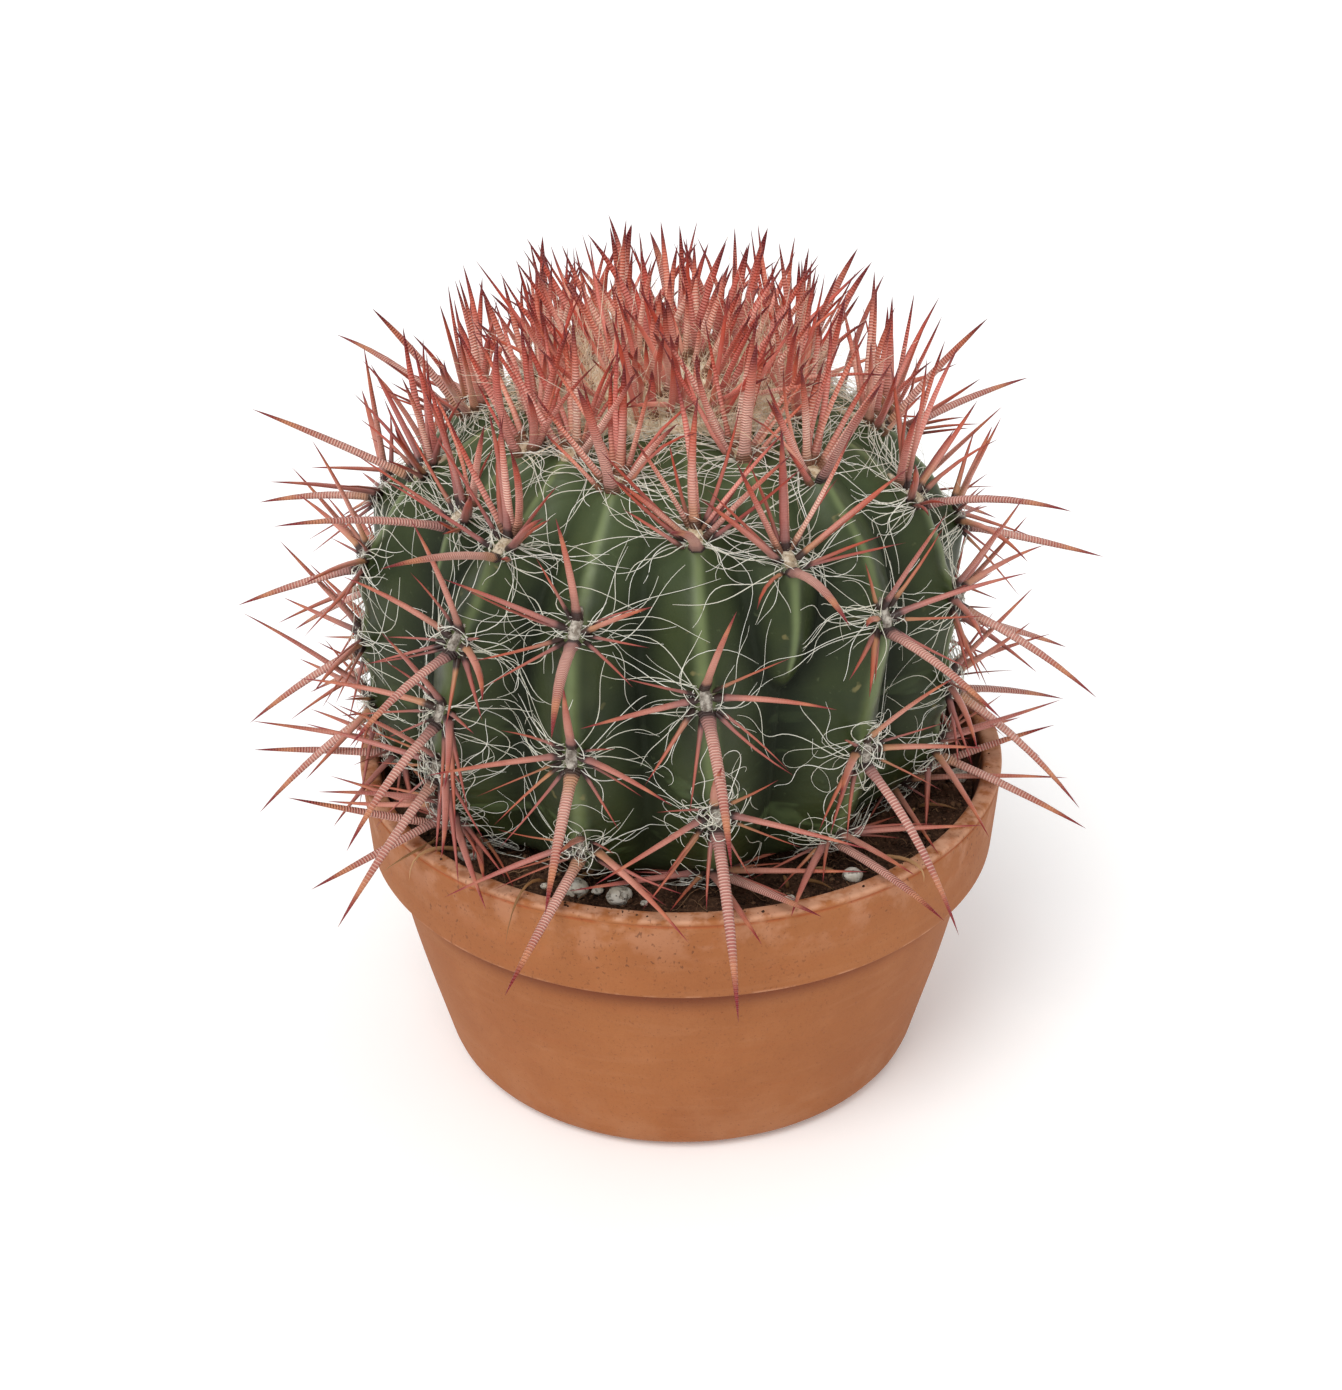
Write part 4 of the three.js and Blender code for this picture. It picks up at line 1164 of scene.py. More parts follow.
def skin_finish():
    """Dark green, with painted shade in the valleys, a painted highlight on the crests and on the low
    folds, a paler shoulder, and cork where the plant meets the soil.
    """
    green = Finish("cactus_skin")
    crest = green.value("crest")
    areole = green.value("areole")
    from_soil = green.value("from_soil")
    cloud = green.noise(26, 3)
    mottle = green.noise(6, 3)
    # a painted highlight along each crest
    glow = crest.between(0.78, 0.99).power(1.5) * (0.15 + cloud * 0.65 + mottle * 0.2)
    flecks = green.noise(2.2, 2).between(0.62, 0.76) * mottle.between(0.45, 0.65)
    folds = green.streaks(30, 3.2, 2.0)
    scars = green.noise(6, 2).between(0.68, 0.76) * crest.between(0.35, 0.8)
    cork = from_soil.between(22, 3) * mottle.between(0.35, 0.6)
    colour = green.coats(
        green.mix(cloud.between(0.3, 0.7), (36, 47, 19), (50, 60, 25)),
        # painted shade, darker from the crests down into the valleys
        (crest.between(0.55, 0.05) * 0.85, (19, 26, 13)),
        (from_soil.between(90, 10) * 0.35, (66, 73, 37)),
        (from_soil.between(125, 195) * 0.75, (86, 101, 64)),
        (glow, (130, 145, 96)),
        (areole.between(0.35, 0.9) * 0.45, (122, 128, 84)),
        (flecks * 0.22, (112, 124, 86)),
        # painted highlights on the folds low on the body
        (folds.between(0.58, 0.66) * from_soil.between(110, 40) * 0.4, (104, 122, 78)),
        (scars * 0.5, (146, 134, 86)),
        (cork * 0.6, (96, 84, 56)),
    )
    creased = folds * from_soil.between(120, 40) * 5.0
    relief = green.bump(mottle * 0.6 + green.noise(1.2, 2) * 0.25 + creased, 0.5, 0.5)
    roughness = 0.34 + mottle * 0.14 + crest.between(0.7, 0.1) * 0.34 + cork * 0.2
    return green.surface(base_color=colour, roughness=roughness, normal=relief,
                        specular_ior_level=0.3)


add_piece("cactus_body", closed_grids(with_foot_and_seat(skin)[None]), skin_finish(),
          replaces=["cactus_stem"], values=body_values)

# %% [markdown]
# ## Felt in the areoles
#
# Spines grow out of small cushions of felt. On the young ones near the top the felt is cream and
# runs up the crest in a tongue, and on the old ones it is grey and worn. Each cushion is a low dome
# laid on the skin, with short fibres standing on it.

# %% The felt cushions
# the first ring is the underside, sunk in the skin, and the others run from the rim to the top
PAD_RINGS = np.array([0.55, 1.0, 0.95, 0.85, 0.7, 0.5, 0.3, 0.12])
PAD_SPOKES, PAD_HEIGHT, PAD_SUNK = 22, 0.7, -1.2
young_share = 1 - smooth(20, 110, areoles["down"])
areole_radius, areole_height = crest_at(areoles["length"])
_, areole_left, areole_right, _, _ = ribs_at(areole_height)
own_rib = np.arange(AREOLE_COUNT), areoles["rib"]
AREOLE_HALF_WIDTH = areole_radius * (areole_right[own_rib] - areole_left[own_rib]) / 2


def on_areole(sideways, upward, lift):
    """Points on the skin round each areole, from distances in millimetres to its right and up
    its rib, lifted off the skin. All arrays are areoles x anything."""
    shape = (AREOLE_COUNT,) + (1,) * (sideways.ndim - 1)
    length = np.clip(areoles["length"].reshape(shape) + upward, 0, CREST_LENGTH)
    across = np.clip(sideways / AREOLE_HALF_WIDTH.reshape(shape), -0.98, 0.98)
    points = body_points(areoles["rib"].reshape(shape), across, length)
    out = areoles["out"].reshape(shape + (3,))
    return points + out * (lift + chin(sideways, upward))[..., None]


def pad_outline(ring, turn):
    """A cushion 5 mm wide and 9 mm high, with a narrow tongue up the crest on the young ones."""
    young = young_share[:, None, None]
    tongue = (2.5 + 12.0 * young) * np.maximum(np.sin(turn), 0) ** 3
    half_wide = 2.2 + 0.8 * young + 0.7 * np.sin(turn) ** 2
    return ring * half_wide * np.cos(turn), ring * (4.4 * np.sin(turn) + tongue)


pad_ring = PAD_RINGS[None, :, None] + np.zeros((AREOLE_COUNT, 1, PAD_SPOKES))
pad_turn = (2 * np.pi * np.arange(PAD_SPOKES) / PAD_SPOKES)[None, None] + 0 * pad_ring
pad_dome = np.sqrt(np.clip(1 - pad_ring ** 2.2, 0, 1))
pad_lift = PAD_HEIGHT * (pad_dome - (pad_ring == 1.0))
pad_lift[:, 0] = PAD_SUNK
pad_points = on_areole(*pad_outline(pad_ring, pad_turn), pad_lift)
pad_points = pad_points + areoles["out"][:, None, None] * (
    0.35 * lattice_noise(pad_points, 1.7, 21))[..., None]
pad_age = over_grids(np.repeat(1 - young_share[:, None], len(PAD_RINGS), axis=1), PAD_SPOKES)


def felt_finish():
    """Cream on the young cushions and grey on the old ones."""
    felt = Finish("areole_felt")
    cloud = felt.noise(2.4, 3).between(0.35, 0.65)
    young = felt.mix(cloud, (196, 172, 138), (230, 214, 186))
    old = felt.mix(cloud, (122, 112, 102), (204, 196, 184))
    colour = felt.mix(felt.value("age").between(0.15, 0.95), young, old)
    relief = felt.bump(felt.noise(0.7, 2), 0.6, 0.9)
    return felt.surface(base_color=colour, roughness=0.95, normal=relief, specular_ior_level=0.15)


felt = felt_finish()
add_piece("areole_cushions", closed_grids(pad_points), felt, values={"age": pad_age})


# %% The fibres of the felt
def bent_lines(root, heading, bend, length, count):
    """Short lines: root + heading x s + bend x s squared / length, s from 0 to the length."""
    share = np.linspace(0, 1, count)
    s = length[..., None] * share
    return (root[..., None, :] + heading[..., None, :] * s[..., None]
            + bend[..., None, :] * (s * share)[..., None])


FIBRES = 40
rng = np.random.default_rng(23)
fibre_ring = np.sqrt(rng.uniform(0, 1, (AREOLE_COUNT, FIBRES, 1)))
fibre_turn = rng.uniform(0, 2 * np.pi, fibre_ring.shape)
fibre_root = on_areole(*pad_outline(fibre_ring, fibre_turn), 0.4)[:, :, 0]
outward = (areoles["out"][:, None] * 0.75
           + areoles["right"][:, None] * 0.5 * np.cos(fibre_turn)
           + areoles["up"][:, None] * 0.5 * np.sin(fibre_turn)
           + 0.45 * rng.normal(size=fibre_root.shape))
fibre_lines = bent_lines(
    fibre_root, unit(outward), 0.6 * rng.normal(size=fibre_root.shape),
    rng.uniform(0.6, 1.7, fibre_root.shape[:2]), 3).reshape(-1, 3, 3)
fibre_half = 0.13 * np.ones((len(fibre_lines), 1)) * np.array([1, 0.9, 0.5])
add_strands("areole_fibres", fibre_lines, fibre_half, felt,
            {"age": np.repeat(1 - young_share, FIBRES)})

# %% [markdown]
# ## The spines
#
# A strong spine is flat, ringed like a ram's horn, thick at its root and dark at its tip. It is a
# tube along a line that bends, with an elliptical ring. Six sides are enough, because the
# rings come from the finish, with their colour and their painted light and shade: it reads how
# far along the spine a point is, in millimetres.

# %% Thin spines round the strong ones
# their directions in degrees from straight up the rib, on the oldest areoles and on the youngest
SPREAD_OUT = (-150, -112, -50, 50, 112, 150)
FANNED_UP = (-78, -48, -20, 18, 46, 74)
SHOULDER = 72


def thin_spines(rng):
    """Six more spines at each areole, all round it on the old ones and fanned up on the young."""
    spines = []
    for i in range(AREOLE_COUNT):
        place, out, up, right = areole_frame(i)
        young = float(1 - smooth(20, 110, areoles["down"][i]))
        for old_angle, young_angle in zip(SPREAD_OUT, FANNED_UP):
            angle = old_angle + young * (young_angle - old_angle)
            turn = math.radians(angle + rng.normal(0, 9))
            upward, sideways = math.cos(turn), math.sin(turn)
            along = out * rng.uniform(0.32, 0.62) + up * upward * (1 - 0.5 * young)
            along = along + right * sideways * (1 - 0.25 * young)
            along[2] += 0.65 * young
            spines.append(settled(Spine(
                place + up * upward * (4.6 if upward > 0 else 5.0) + right * sideways * 3.7,
                unit(along), GROUNDWARD,
                rng.uniform(22, 36) * (1 + 0.6 * young), rng.uniform(1.5, 2.2) * (1 + 0.4 * young),
                rng.uniform(-0.04, 0.10), "thin", 1 - young)))
    return spines


def shoulder_spines(rng):
    """Three more long spines at each areole near the crown, which stand up round the wool."""
    spines = []
    for i in np.flatnonzero(areoles["down"] < SHOULDER):
        place, out, up, right = areole_frame(i)
        for sideways in (-0.5, 0.05, 0.5):
            along = out * rng.uniform(0.1, 0.45) + right * (sideways + rng.normal(0, 0.12))
            along[2] += 1.0
            spines.append(settled(Spine(
                place + up * rng.uniform(3.6, 7.0) + right * sideways * 4.0,
                unit(along), GROUNDWARD, rng.uniform(42, 60), rng.uniform(2.4, 3.1),
                rng.uniform(-0.04, 0.08), "thin", 0.12)))
    return spines


# where the rings sit, as shares of the length: close together at the root and at the tip
SPINE_STEPS = np.array([-0.06, 0.0, 0.03, 0.07, 0.16, 0.3, 0.45, 0.6, 0.73, 0.84, 0.93, 1.0])
THIN_STEPS = np.array([-0.08, 0.0, 0.06, 0.3, 0.55, 0.78, 1.0])


def spine_piece(name, spines, steps, sides, seed, replaces=()):
    """All of these spines as one mesh, with the numbers that the finish reads. The width is
    about 1 less a power of the share of the length, so it lasts for most of it, with a bulb at
    the root. Each one grew a little crooked: the young ones the most."""
    rng = np.random.default_rng(seed)
    length, width, age = (
        np.array([[getattr(spine, key)] for spine in spines]) for key in ("length", "width", "age"))
    is_crown = np.array([[spine.kind == "crown"] for spine in spines])
    lines = np.stack([spine.points(steps) for spine in spines])
    along, towards = (
        np.stack([getattr(spine, key) for spine in spines]) for key in ("along", "towards"))
    flat = unit(np.cross(along, towards) + 1e-6)
    deep = np.cross(along, flat)
    share = np.clip(steps, 0, 1)
    crooked = (0.11 - 0.055 * age) * length
    sway = rng.normal(0, 1, (len(spines), 1)) * crooked * share ** 2
    bow = rng.normal(0, 1, (len(spines), 1)) * crooked * (share ** 2 - 0.4 * share)
    lines = lines + flat[:, None] * sway[..., None] + deep[:, None] * bow[..., None]
    from_root = share * length
    blunt = 2.0 + 1.5 * smooth(2.6, 4.0, width) + 1.9 * (1 - age)
    taper = 0.93 * (1 - share ** blunt) + 0.06 * (1 - share) + 0.01
    bulb = 1 + 0.5 * np.exp(-((from_root - 2.2) / (0.8 * width)) ** 2)
    half = 0.5 * width * np.where(is_crown, 1.1, 1.0) * taper * bulb
    per_ring = {
        "share": share,
        "along_mm": from_root,
        "tone": rng.uniform(0, 1, (len(spines), 1)),
        "age": age,
        "crown": is_crown,
        "thick": 0.5 * width,
    }
    values = {label: over_grids(numbers + 0 * from_root, sides) for label, numbers in per_ring.items()}
    shape = tubes(lines, half, 0.62 * half, flat[:, None] + 0 * lines, sides)
    add_piece(name, shape, spine_skin, replaces=replaces, values=values)


# %% The horn of the spines
# the strength of a painted glow: an emission that stands in for light through the horn and the wool
PAINTED_GLOW = 0.1
RING_GAP = 1.1


def spine_finish():
    """Red horn that ages to rose. The young spines are pink, crimson or orange, each by its own
    tone, with a painted glow that stands in for light through the horn. Broad ones are pale and
    ringed, the rings partly their own colour and partly painted light and shade, and every one has
    a dark root, a greyish neck, a red outer half and a crimson tip."""
    horn = Finish("spine_horn")
    share, along, tone, age, thick, crown = (
        horn.value(label) for label in ("share", "along_mm", "tone", "age", "thick", "crown"))
    crown = crown.larger(age.between(0.30, 0.08))
    hue = (tone * 41.0).wave()
    crimson = hue.between(0.1, 0.4)
    young = horn.coats(
        horn.mix(tone.between(0.1, 0.7), (234, 134, 120), (250, 182, 160)),
        (crimson * 0.85, (188, 66, 56)),
        (hue.between(-0.6, -0.85) * 0.6, (222, 112, 62)),
    )
    red = horn.mix(tone.between(0.25, 0.75), (140, 50, 48), (176, 84, 66))
    rose = horn.mix(tone.between(0.0, 1.0), (168, 92, 82), (180, 100, 70))
    broad = thick.between(1.1, 2.0)
    pale = share.between(0.88, 0.32) * (0.12 + broad * 0.75 + crown * 0.3) * (0.55 + tone * 0.45)
    pale = pale * (1 - crown * crimson * 0.55)
    cream = horn.mix(crown, (226, 166, 152), (244, 196, 178))
    rings = (along * (2 * math.pi / RING_GAP) + horn.noise(3.0, 1) * 1.6).wave()
    thickness = (thick + crown * 0.5).between(1.45, 2.05)
    ringed = thickness * share.between(0.88, 0.62) * (age + tone + crown * 0.4).between(0.25, 0.7)
    ringed = ringed * (0.62 + crown * 0.38) * (1 - crown * crimson * 0.75)
    glow = share.between(0.42, 0.72) * (1 - age * 0.65) * (0.35 + tone * 0.5)
    warm = horn.mix(age.between(0.6, 1.0), (190, 74, 48), (168, 62, 56))
    amber = share.between(0.66, 0.78) * share.between(0.90, 0.80) * age * broad
    tip = share.between(0.74, 0.94).larger(share.between(0.68, 0.90) * crown)
    dark_red = horn.mix(age.between(0.4, 0.9), (104, 28, 34), (134, 36, 44))
    neck = along.between(16.0, 6.0) * (1 - crown * 0.5)
    greyish = horn.mix(tone.between(0.55, 0.85), (148, 104, 100), (186, 138, 98))
    root = horn.mix(crown, (52, 40, 38), (128, 88, 66))
    colour = horn.coats(
        horn.mix(age.between(0.15, 0.75), red, rose),
        (crown, young),
        (pale, cream),
        # the rings' pale bars and dark gaps: partly their own colour, partly painted light and shade
        # of the raised rings
        (rings.between(-0.1, 0.6) * ringed * 0.8, (248, 218, 200)),
        (rings.between(-0.1, -0.8) * ringed * 0.45, (168, 80, 70)),
        (glow, warm),
        (amber * 0.5, (230, 162, 112)),
        (horn.noise(4, 2).between(0.55, 0.75) * 0.25, (150, 60, 52)),
        (tip * 0.92, dark_red),
        (neck * 0.75, greyish),
        (along.between(6.4, 3.8) * 0.95, root),
    )
    # the young spines get a painted glow, an emission of their own colour, for light through the horn
    lit = horn.mix(crown, (0, 0, 0), colour)
    return horn.surface(base_color=colour, roughness=0.42, specular_ior_level=0.4,
                        normal=horn.bump(rings * thickness, 0.3, 0.8),
                        emission_color=lit, emission_strength=PAINTED_GLOW)


spine_skin = spine_finish()
strong = [spine for spine in rib_spines if spine.kind == "strong"]
thin = [spine for spine in rib_spines if spine.kind == "thin"]
thin += thin_spines(np.random.default_rng(31))
shoulder = shoulder_spines(np.random.default_rng(33))
spine_piece("rib_spines", strong, SPINE_STEPS, 6, 41, replaces=["cactus_stem"])
spine_piece("thin_spines", thin, THIN_STEPS, 4, 42)
spine_piece("shoulder_spines", shoulder, SPINE_STEPS, 6, 43)

# %% [markdown]
# ## The crown
#
# New spines push up through a cap of pale wool, close together and nearly upright. The wool is a
# lumpy dome with long curled fibres on it, and more young spines stand among those of the solid.

# %% Wool on the growing point
CREST_AZIMUTHS = ribs_at(CROWN_HEIGHT)[0][0]
WOOL_SHARES = np.concatenate([[0.9, 1.03], np.linspace(1.0, 0.05, 26)])
WOOL_COLUMNS = 170
TUCKED, TUCK_DEPTHS = 2, np.array([[4.5], [3.5]])


def wool_reach(azimuth):
    """How far the wool reaches: 36 mm, more to the sides, with a tongue down each crest."""
    away = azimuth[..., None] - CREST_AZIMUTHS
    away = np.abs((away + np.pi) % (2 * np.pi) - np.pi).min(axis=-1)
    tongue = np.exp(-(away * 42 / 4.5) ** 2)
    sideways = np.abs(np.sin(azimuth))
    return 36.0 + 5.5 * sideways ** 2 + tongue * (4.0 + 5.0 * sideways)


def wool_top(azimuth, distance):
    """Height of the wool: the crest line's height there, plus a dome that ends at its edge."""
    above = CREST_HEIGHTS > WIDEST_HEIGHT
    under = np.interp(-distance, -CREST_RADII[above], CREST_HEIGHTS[above])
    return under + wool_rise(distance / wool_reach(azimuth))


def wool_dome(columns):
    """The blanket's grid: two rows of edge tucked under, then the rise to the middle, with
    lumps."""
    azimuth = (2 * np.pi * np.arange(columns) / columns)[None]
    distance = WOOL_SHARES[:, None] * wool_reach(azimuth)
    height = wool_top(azimuth, distance)
    height[:TUCKED] -= TUCK_DEPTHS
    points = polar(azimuth, distance, height) + centre_at(CROWN_HEIGHT)
    lumps = 1.8 * lattice_noise(points, 6, 51) + 1.0 * lattice_noise(points, 2.3, 52)
    points[TUCKED:, :, 2] += lumps[TUCKED:]
    return points


def wool_finish():
    """Nearly white wool with tan patches, and a painted glow that stands in for light through it."""
    wool = Finish("crown_wool")
    cloud = wool.noise(4, 3)
    colour = wool.mix(cloud.between(0.3, 0.7), (246, 232, 200), (255, 250, 232))
    colour = wool.mix(wool.noise(9, 2).between(0.5, 0.7) * 0.4, colour, (222, 176, 140))
    relief = wool.bump(wool.noise(0.8, 2) + cloud, 0.8, 0.9)
    # a painted glow: the wool emits its own colour, for light through it
    return wool.surface(base_color=colour, roughness=0.95, normal=relief, specular_ior_level=0.1,
                        emission_color=colour, emission_strength=PAINTED_GLOW)


add_piece("crown_wool", closed_grids(wool_dome(WOOL_COLUMNS)[None]), wool_finish(),
          replaces=["crown"])

# %% Curled fibres on the wool
WOOL_FIBRES = 4600
rng = np.random.default_rng(57)
wool_azimuth = rng.uniform(0, 2 * np.pi, WOOL_FIBRES)
wool_radius = wool_reach(wool_azimuth) * 1.05 * np.sqrt(rng.uniform(0, 1, WOOL_FIBRES))
wool_root = polar(wool_azimuth, wool_radius, wool_top(wool_azimuth, wool_radius) - 0.6)
wool_root = wool_root + centre_at(CROWN_HEIGHT)
wool_heading = unit(polar(wool_azimuth, 0.5 * wool_radius / WOOL_RADIUS, 0.55)
                    + 0.75 * rng.normal(size=wool_root.shape) * (1, 1, 0.6))
wool_length = rng.uniform(2, 5, WOOL_FIBRES) * (1 + 2.2 * smooth(26, 38, wool_radius))
wool_lines = bent_lines(wool_root, wool_heading, rng.normal(size=wool_root.shape), wool_length, 5)
wool_half = rng.uniform(0.09, 0.15, (WOOL_FIBRES, 1)) * np.array([1, 1, 0.9, 0.8, 0.4])
add_strands("crown_fibres", wool_lines, wool_half,
            fibre_finish("wool_fibre", (238, 214, 176), (255, 246, 224)),
            {"tone": rng.uniform(0, 1, WOOL_FIBRES)})


# %% More young spines in the crown
def more_crown_spines(count, rng):
    """Spines of all sizes among the first ones: the further out, the longer, and the more they
    lean."""
    spines = []
    for _ in range(count):
        azimuth = rng.uniform(0, 2 * math.pi)
        distance = float(wool_reach(np.array(azimuth))) * math.sqrt(rng.uniform(0.01, 0.98))
        share = distance / 40
        lean = math.radians(rng.normal(3 + 30 * share, 11))
        grown = 0.66 + 0.34 * share
        size = ((22 + 36 * rng.uniform() ** 1.3) * grown, rng.uniform(1.8, 3.0))
        spine = standing_spine(
            azimuth, lean, azimuth + rng.normal(0, 0.4), distance, size, rng.normal(0, 0.04))
        spine.root[2] = wool_top(np.array(azimuth), distance) - 1.5
        spines.append(spine)
    return spines


extra_crown = more_crown_spines(105, np.random.default_rng(61))
spine_piece("crown_spines", crown_spines + extra_crown, SPINE_STEPS, 6, 62, replaces=["crown"])

# %% [markdown]
# ## Curly bristles
#
# White bristles curl out of every areole and bridge the valleys, most densely round the top.
# Each one walks over the plant in short steps, turning as it goes. A table of the skin's
# distance from the middle of the plant keeps it just above the skin.

# %% How far the skin is from the middle, in every direction
LOWEST, HIGHEST, AROUND = -60, 90, 360
ELEVATIONS = np.radians(np.arange(LOWEST, HIGHEST + 1))
AZIMUTHS = np.linspace(-np.pi, np.pi, AROUND + 1)


def shell_table():
    """Distance of the skin from the waist point, for each degree of elevation and azimuth."""
    rows = np.concatenate([skin, wool_dome(skin.shape[1])[TUCKED:]])
    seen = rows - WAIST
    azimuth = np.arctan2(seen[..., 0], -seen[..., 1])
    radius = np.hypot(seen[..., 0], seen[..., 1])
    even = np.stack([np.interp(AZIMUTHS, a, r, period=2 * np.pi) for a, r in zip(azimuth, radius)])
    height = np.repeat(seen[..., 2].mean(axis=1)[:, None], len(AZIMUTHS), axis=1)
    elevation = np.maximum.accumulate(np.arctan2(height, even), axis=0)
    distance = np.hypot(height, even)
    return np.stack([np.interp(ELEVATIONS, elevation[:, k], distance[:, k])
                     for k in range(len(AZIMUTHS))], axis=1)


SHELL = shell_table()


def shell_distance(points):
    """The skin's distance from the waist point in the direction of each point."""
    seen = points - WAIST
    azimuth = np.arctan2(seen[..., 0], -seen[..., 1])
    elevation = np.arctan2(seen[..., 2], np.hypot(seen[..., 0], seen[..., 1]))
    column = (azimuth + np.pi) / (2 * np.pi) * AROUND
    row = np.clip(np.degrees(elevation) - LOWEST, 0, HIGHEST - LOWEST - 0.001)
    i, j = np.floor(row).astype(int), np.clip(np.floor(column).astype(int), 0, AROUND - 1)
    u, v = row - i, column - j
    return ((1 - u) * (1 - v) * SHELL[i, j] + u * (1 - v) * SHELL[i + 1, j]
            + (1 - u) * v * SHELL[i, j + 1] + u * v * SHELL[i + 1, j + 1])


# %% Walk the bristles over the skin
def turned_about(vectors, axis, angle):
    """Each vector turned about its own axis: v cos + (axis x v) sin + axis (axis . v)(1 - cos)."""
    cos, sin = np.cos(angle)[:, None], np.sin(angle)[:, None]
    along = np.sum(axis * vectors, axis=1, keepdims=True)
    return vectors * cos + np.cross(axis, vectors) * sin + axis * along * (1 - cos)


def walked(root, heading, axis, length, steps, curl, rng, loop=0.0):
    """Lines of even steps whose heading turns about an axis by a slow wave plus chance, held
    between 0.6 mm and a few millimetres above the skin. A steady turn one way or the other, up
    to this many times the wave's height, winds them into loops. The lines are smoothed twice,
    each point by its neighbours."""
    step = (length / steps)[:, None]
    phase = rng.uniform(0, 2 * np.pi, len(root))
    rate = rng.uniform(0.25, 0.6, len(root))
    most = rng.uniform(1.5, 7.0, len(root))[:, None]
    steady = loop * np.cos(2 * phase)
    lines = [root]
    for i in range(steps):
        angle = curl * (np.sin(phase + rate * i) + steady) + rng.normal(0, 0.03, len(root))
        heading = turned_about(heading, axis, angle)
        place = lines[-1] + heading * step
        away = np.linalg.norm(place - WAIST, axis=1, keepdims=True)
        shell = shell_distance(place)[:, None]
        held = np.clip(away, shell + 0.6, shell + most)
        lines.append(WAIST + (place - WAIST) * held / away)
    lines = np.stack(lines, axis=1)
    for _ in range(2):
        lines[:, 1:-1] = (lines[:, :-2] + 2 * lines[:, 1:-1] + lines[:, 2:]) / 4
    return lines


def bristles(chosen, count, reach, curl, sideways, seed, steps, loop):
    """Bristles of the chosen areoles, this many on each and so many millimetres long."""
    rng = np.random.default_rng(seed)
    index = np.repeat(chosen, count)
    place, out, up, right = areole_frame(index)
    side = np.where(rng.uniform(size=len(index)) < 0.5, -1.0, 1.0)
    heading = unit(
        right * (side * rng.uniform(0.4, 1.0, len(index)) * sideways)[:, None]
        + up * rng.normal(0.05, 0.42, len(index))[:, None]
        + out * rng.uniform(0.2, 0.9, len(index))[:, None])
    axis = unit(out + 0.45 * rng.normal(size=out.shape))
    root = (place + out * 1.5
            + right * side[:, None] * rng.uniform(1.5, 4.2, (len(index), 1))
            + up * rng.uniform(-4.5, 6, (len(index), 1)))
    length = rng.uniform(*reach, len(index))
    curls = rng.uniform(0.4, 1.0, len(index)) * curl * side
    return walked(root, heading, axis, length, steps, curls, rng, loop)


def wool_strands(count, seed):
    """Loose strands that start near the wool's edge and lie round it and down over the ribs."""
    rng = np.random.default_rng(seed)
    azimuth = rng.uniform(0, 2 * np.pi, count)
    radius = wool_reach(azimuth) * rng.uniform(0.72, 1.0, count)
    root = polar(azimuth, radius, wool_top(azimuth, radius) + 0.5) + centre_at(CROWN_HEIGHT)
    side = np.where(rng.uniform(size=count) < 0.5, -1.0, 1.0)
    heading = unit(
        polar(azimuth + np.pi / 2, side * rng.uniform(0.5, 1.0, count), 0.25)
        + polar(azimuth, rng.uniform(0.0, 0.9, count), 0.0))
    axis = unit((0, 0, 1) + 0.35 * rng.normal(size=heading.shape))
    curls = rng.uniform(0.4, 1.0, count) * 0.4 * side
    return walked(root, heading, axis, rng.uniform(14, 34, count), 14, curls, rng)


def bristle_piece(name, lines, seed, finish):
    """Hairs of 0.4 mm that thin out towards the end."""
    rng = np.random.default_rng(seed)
    count, points, _ = lines.shape
    half = rng.uniform(0.14, 0.23, (count, 1)) * (1 - 0.55 * np.linspace(0, 1, points) ** 2)
    add_strands(name, lines, half, finish, {"tone": rng.uniform(0, 1, count)},
                wide_way=np.array([0.31, 0.52, 0.79]))


strand_skin = fibre_finish("wool_strand", (240, 220, 184), (255, 250, 234))
bristle_piece("crown_strands", wool_strands(320, 77), 78, strand_skin)
# distance below the crown from and to, how many on each areole, shortest and longest, curl, how
# far sideways they start, the first of two seeds, steps, and how much they loop
BELTS = {
    "upper": (0, 75, 35, (24, 64), 0.28, 1.0, 71, 13, 0.0),
    "middle": (75, 140, 27, (22, 58), 0.30, 1.0, 73, 14, 0.4),
    "lower": (140, CREST_LENGTH, 32, (22, 56), 0.39, 0.95, 75, 24, 1.0),
}
bristle_skin = fibre_finish("bristle", (232, 230, 212), (253, 252, 242), 0.55)
for belt, (nearest, furthest, count, reach, curl, sideways, seed, steps, loop) in BELTS.items():
    chosen = np.flatnonzero((areoles["down"] >= nearest) & (areoles["down"] < furthest))
    belt_lines = bristles(chosen, count, reach, curl, sideways, seed, steps, loop)
    bristle_piece(f"bristles_{belt}", belt_lines, seed + 1, bristle_skin)

# %% [markdown]
# ## Floor, light and camera
#
# The photograph has even daylight, a little stronger from the left. A white world gives most of
# it, and one large soft lamp adds the faint shadows. The camera's place, distance and lens were
# worked out from the pot's outlines in the photograph.

# %% Floor
def floor_finish():
    """White paper with a slight glow, for the photograph's shadowless ground."""
    floor = Finish("pale_floor")
    cloud = floor.noise(180, 3)
    colour = floor.mix(cloud.between(0.3, 0.7), (249, 249, 249), (252, 252, 251))
    return floor.surface(base_color=colour, roughness=0.9, specular_ior_level=0.1,
                         emission_color=rgba((255, 255, 255)), emission_strength=0.12)


bpy.ops.mesh.primitive_plane_add(size=8.0, location=(0, 0, -0.0004))
floor = bpy.context.object
floor.name = "floor"
floor.data.materials.append(floor_finish())


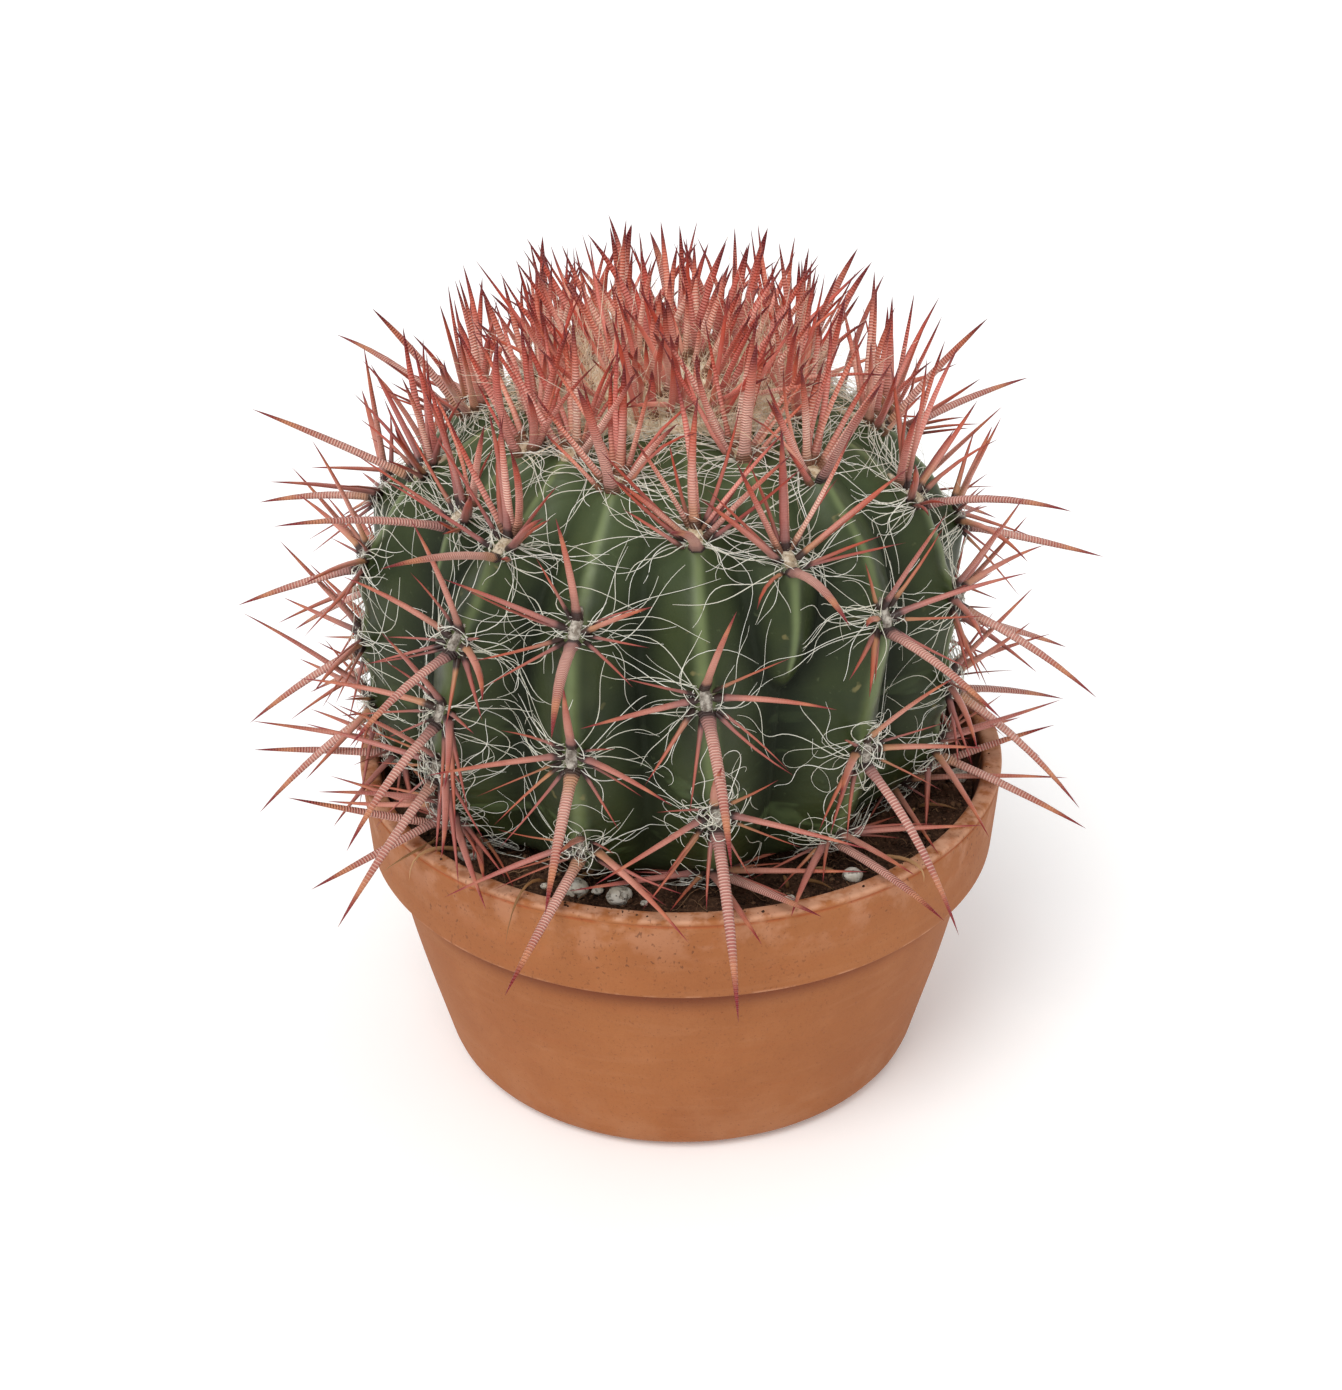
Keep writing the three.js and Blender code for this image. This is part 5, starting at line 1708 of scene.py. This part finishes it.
# %% Light
def soft_sun(name, azimuth, elevation, strength, width):
    """A sun so wide that its shadows are soft; it comes from this side and height, in degrees."""
    lamp = bpy.data.lights.new(name, "SUN")
    lamp.energy = strength
    lamp.angle = math.radians(width)
    holder = bpy.data.objects.new(name, lamp)
    bpy.context.scene.collection.objects.link(holder)
    e = math.radians(elevation)
    comes_from = Vector(polar(math.radians(azimuth), math.cos(e), math.sin(e)))
    holder.rotation_euler = comes_from.to_track_quat("Z", "Y").to_euler()


soft_sun("window_left", -28, 56, 1.5, 30)
world = bpy.data.worlds.new("daylight")
world.use_nodes = True
sky = world.node_tree.nodes["Background"].inputs
sky["Color"].default_value = (1.0, 1.0, 1.0, 1.0)
sky["Strength"].default_value = 0.74
bpy.context.scene.world = world
bpy.context.scene.view_settings.view_transform = "Standard"


# %% Camera
def camera_frame(place, elevation, roll):
    """The camera's matrix: columns for its right, up and back, with the roll turned in."""
    e, r = math.radians(elevation), math.radians(roll)
    ahead = Vector((0, math.cos(e), -math.sin(e)))
    level = Vector((1, 0, 0))
    upright = level.cross(ahead)
    right = level * math.cos(r) + upright * math.sin(r)
    up = upright * math.cos(r) - level * math.sin(r)
    matrix = Matrix((right, up, -ahead)).transposed().to_4x4()
    matrix.translation = Vector(place)
    return matrix


SENSOR = 36
PHOTO_HEIGHT, FOCAL_PIXELS = 1390, 2450
# metres and degrees; the camera looks at a point above the pot's axis
CAMERA_RIGHT, TARGET_HEIGHT = -0.00375, 0.1468
DISTANCE, ELEVATION, ROLL = 0.950, 29.55, -0.34
camera_data = bpy.data.cameras.new("camera")
camera_data.lens = FOCAL_PIXELS / PHOTO_HEIGHT * SENSOR
camera_data.sensor_width = SENSOR
camera_data.clip_start, camera_data.clip_end = 0.01, 50
camera = bpy.data.objects.new("camera", camera_data)
bpy.context.scene.collection.objects.link(camera)
slope = math.radians(ELEVATION)
camera_place = (
    CAMERA_RIGHT, -DISTANCE * math.cos(slope), TARGET_HEIGHT + DISTANCE * math.sin(slope))
camera.matrix_world = camera_frame(camera_place, ELEVATION, ROLL)
bpy.context.scene.camera = camera

# %% Update the scene
bpy.context.view_layer.update()
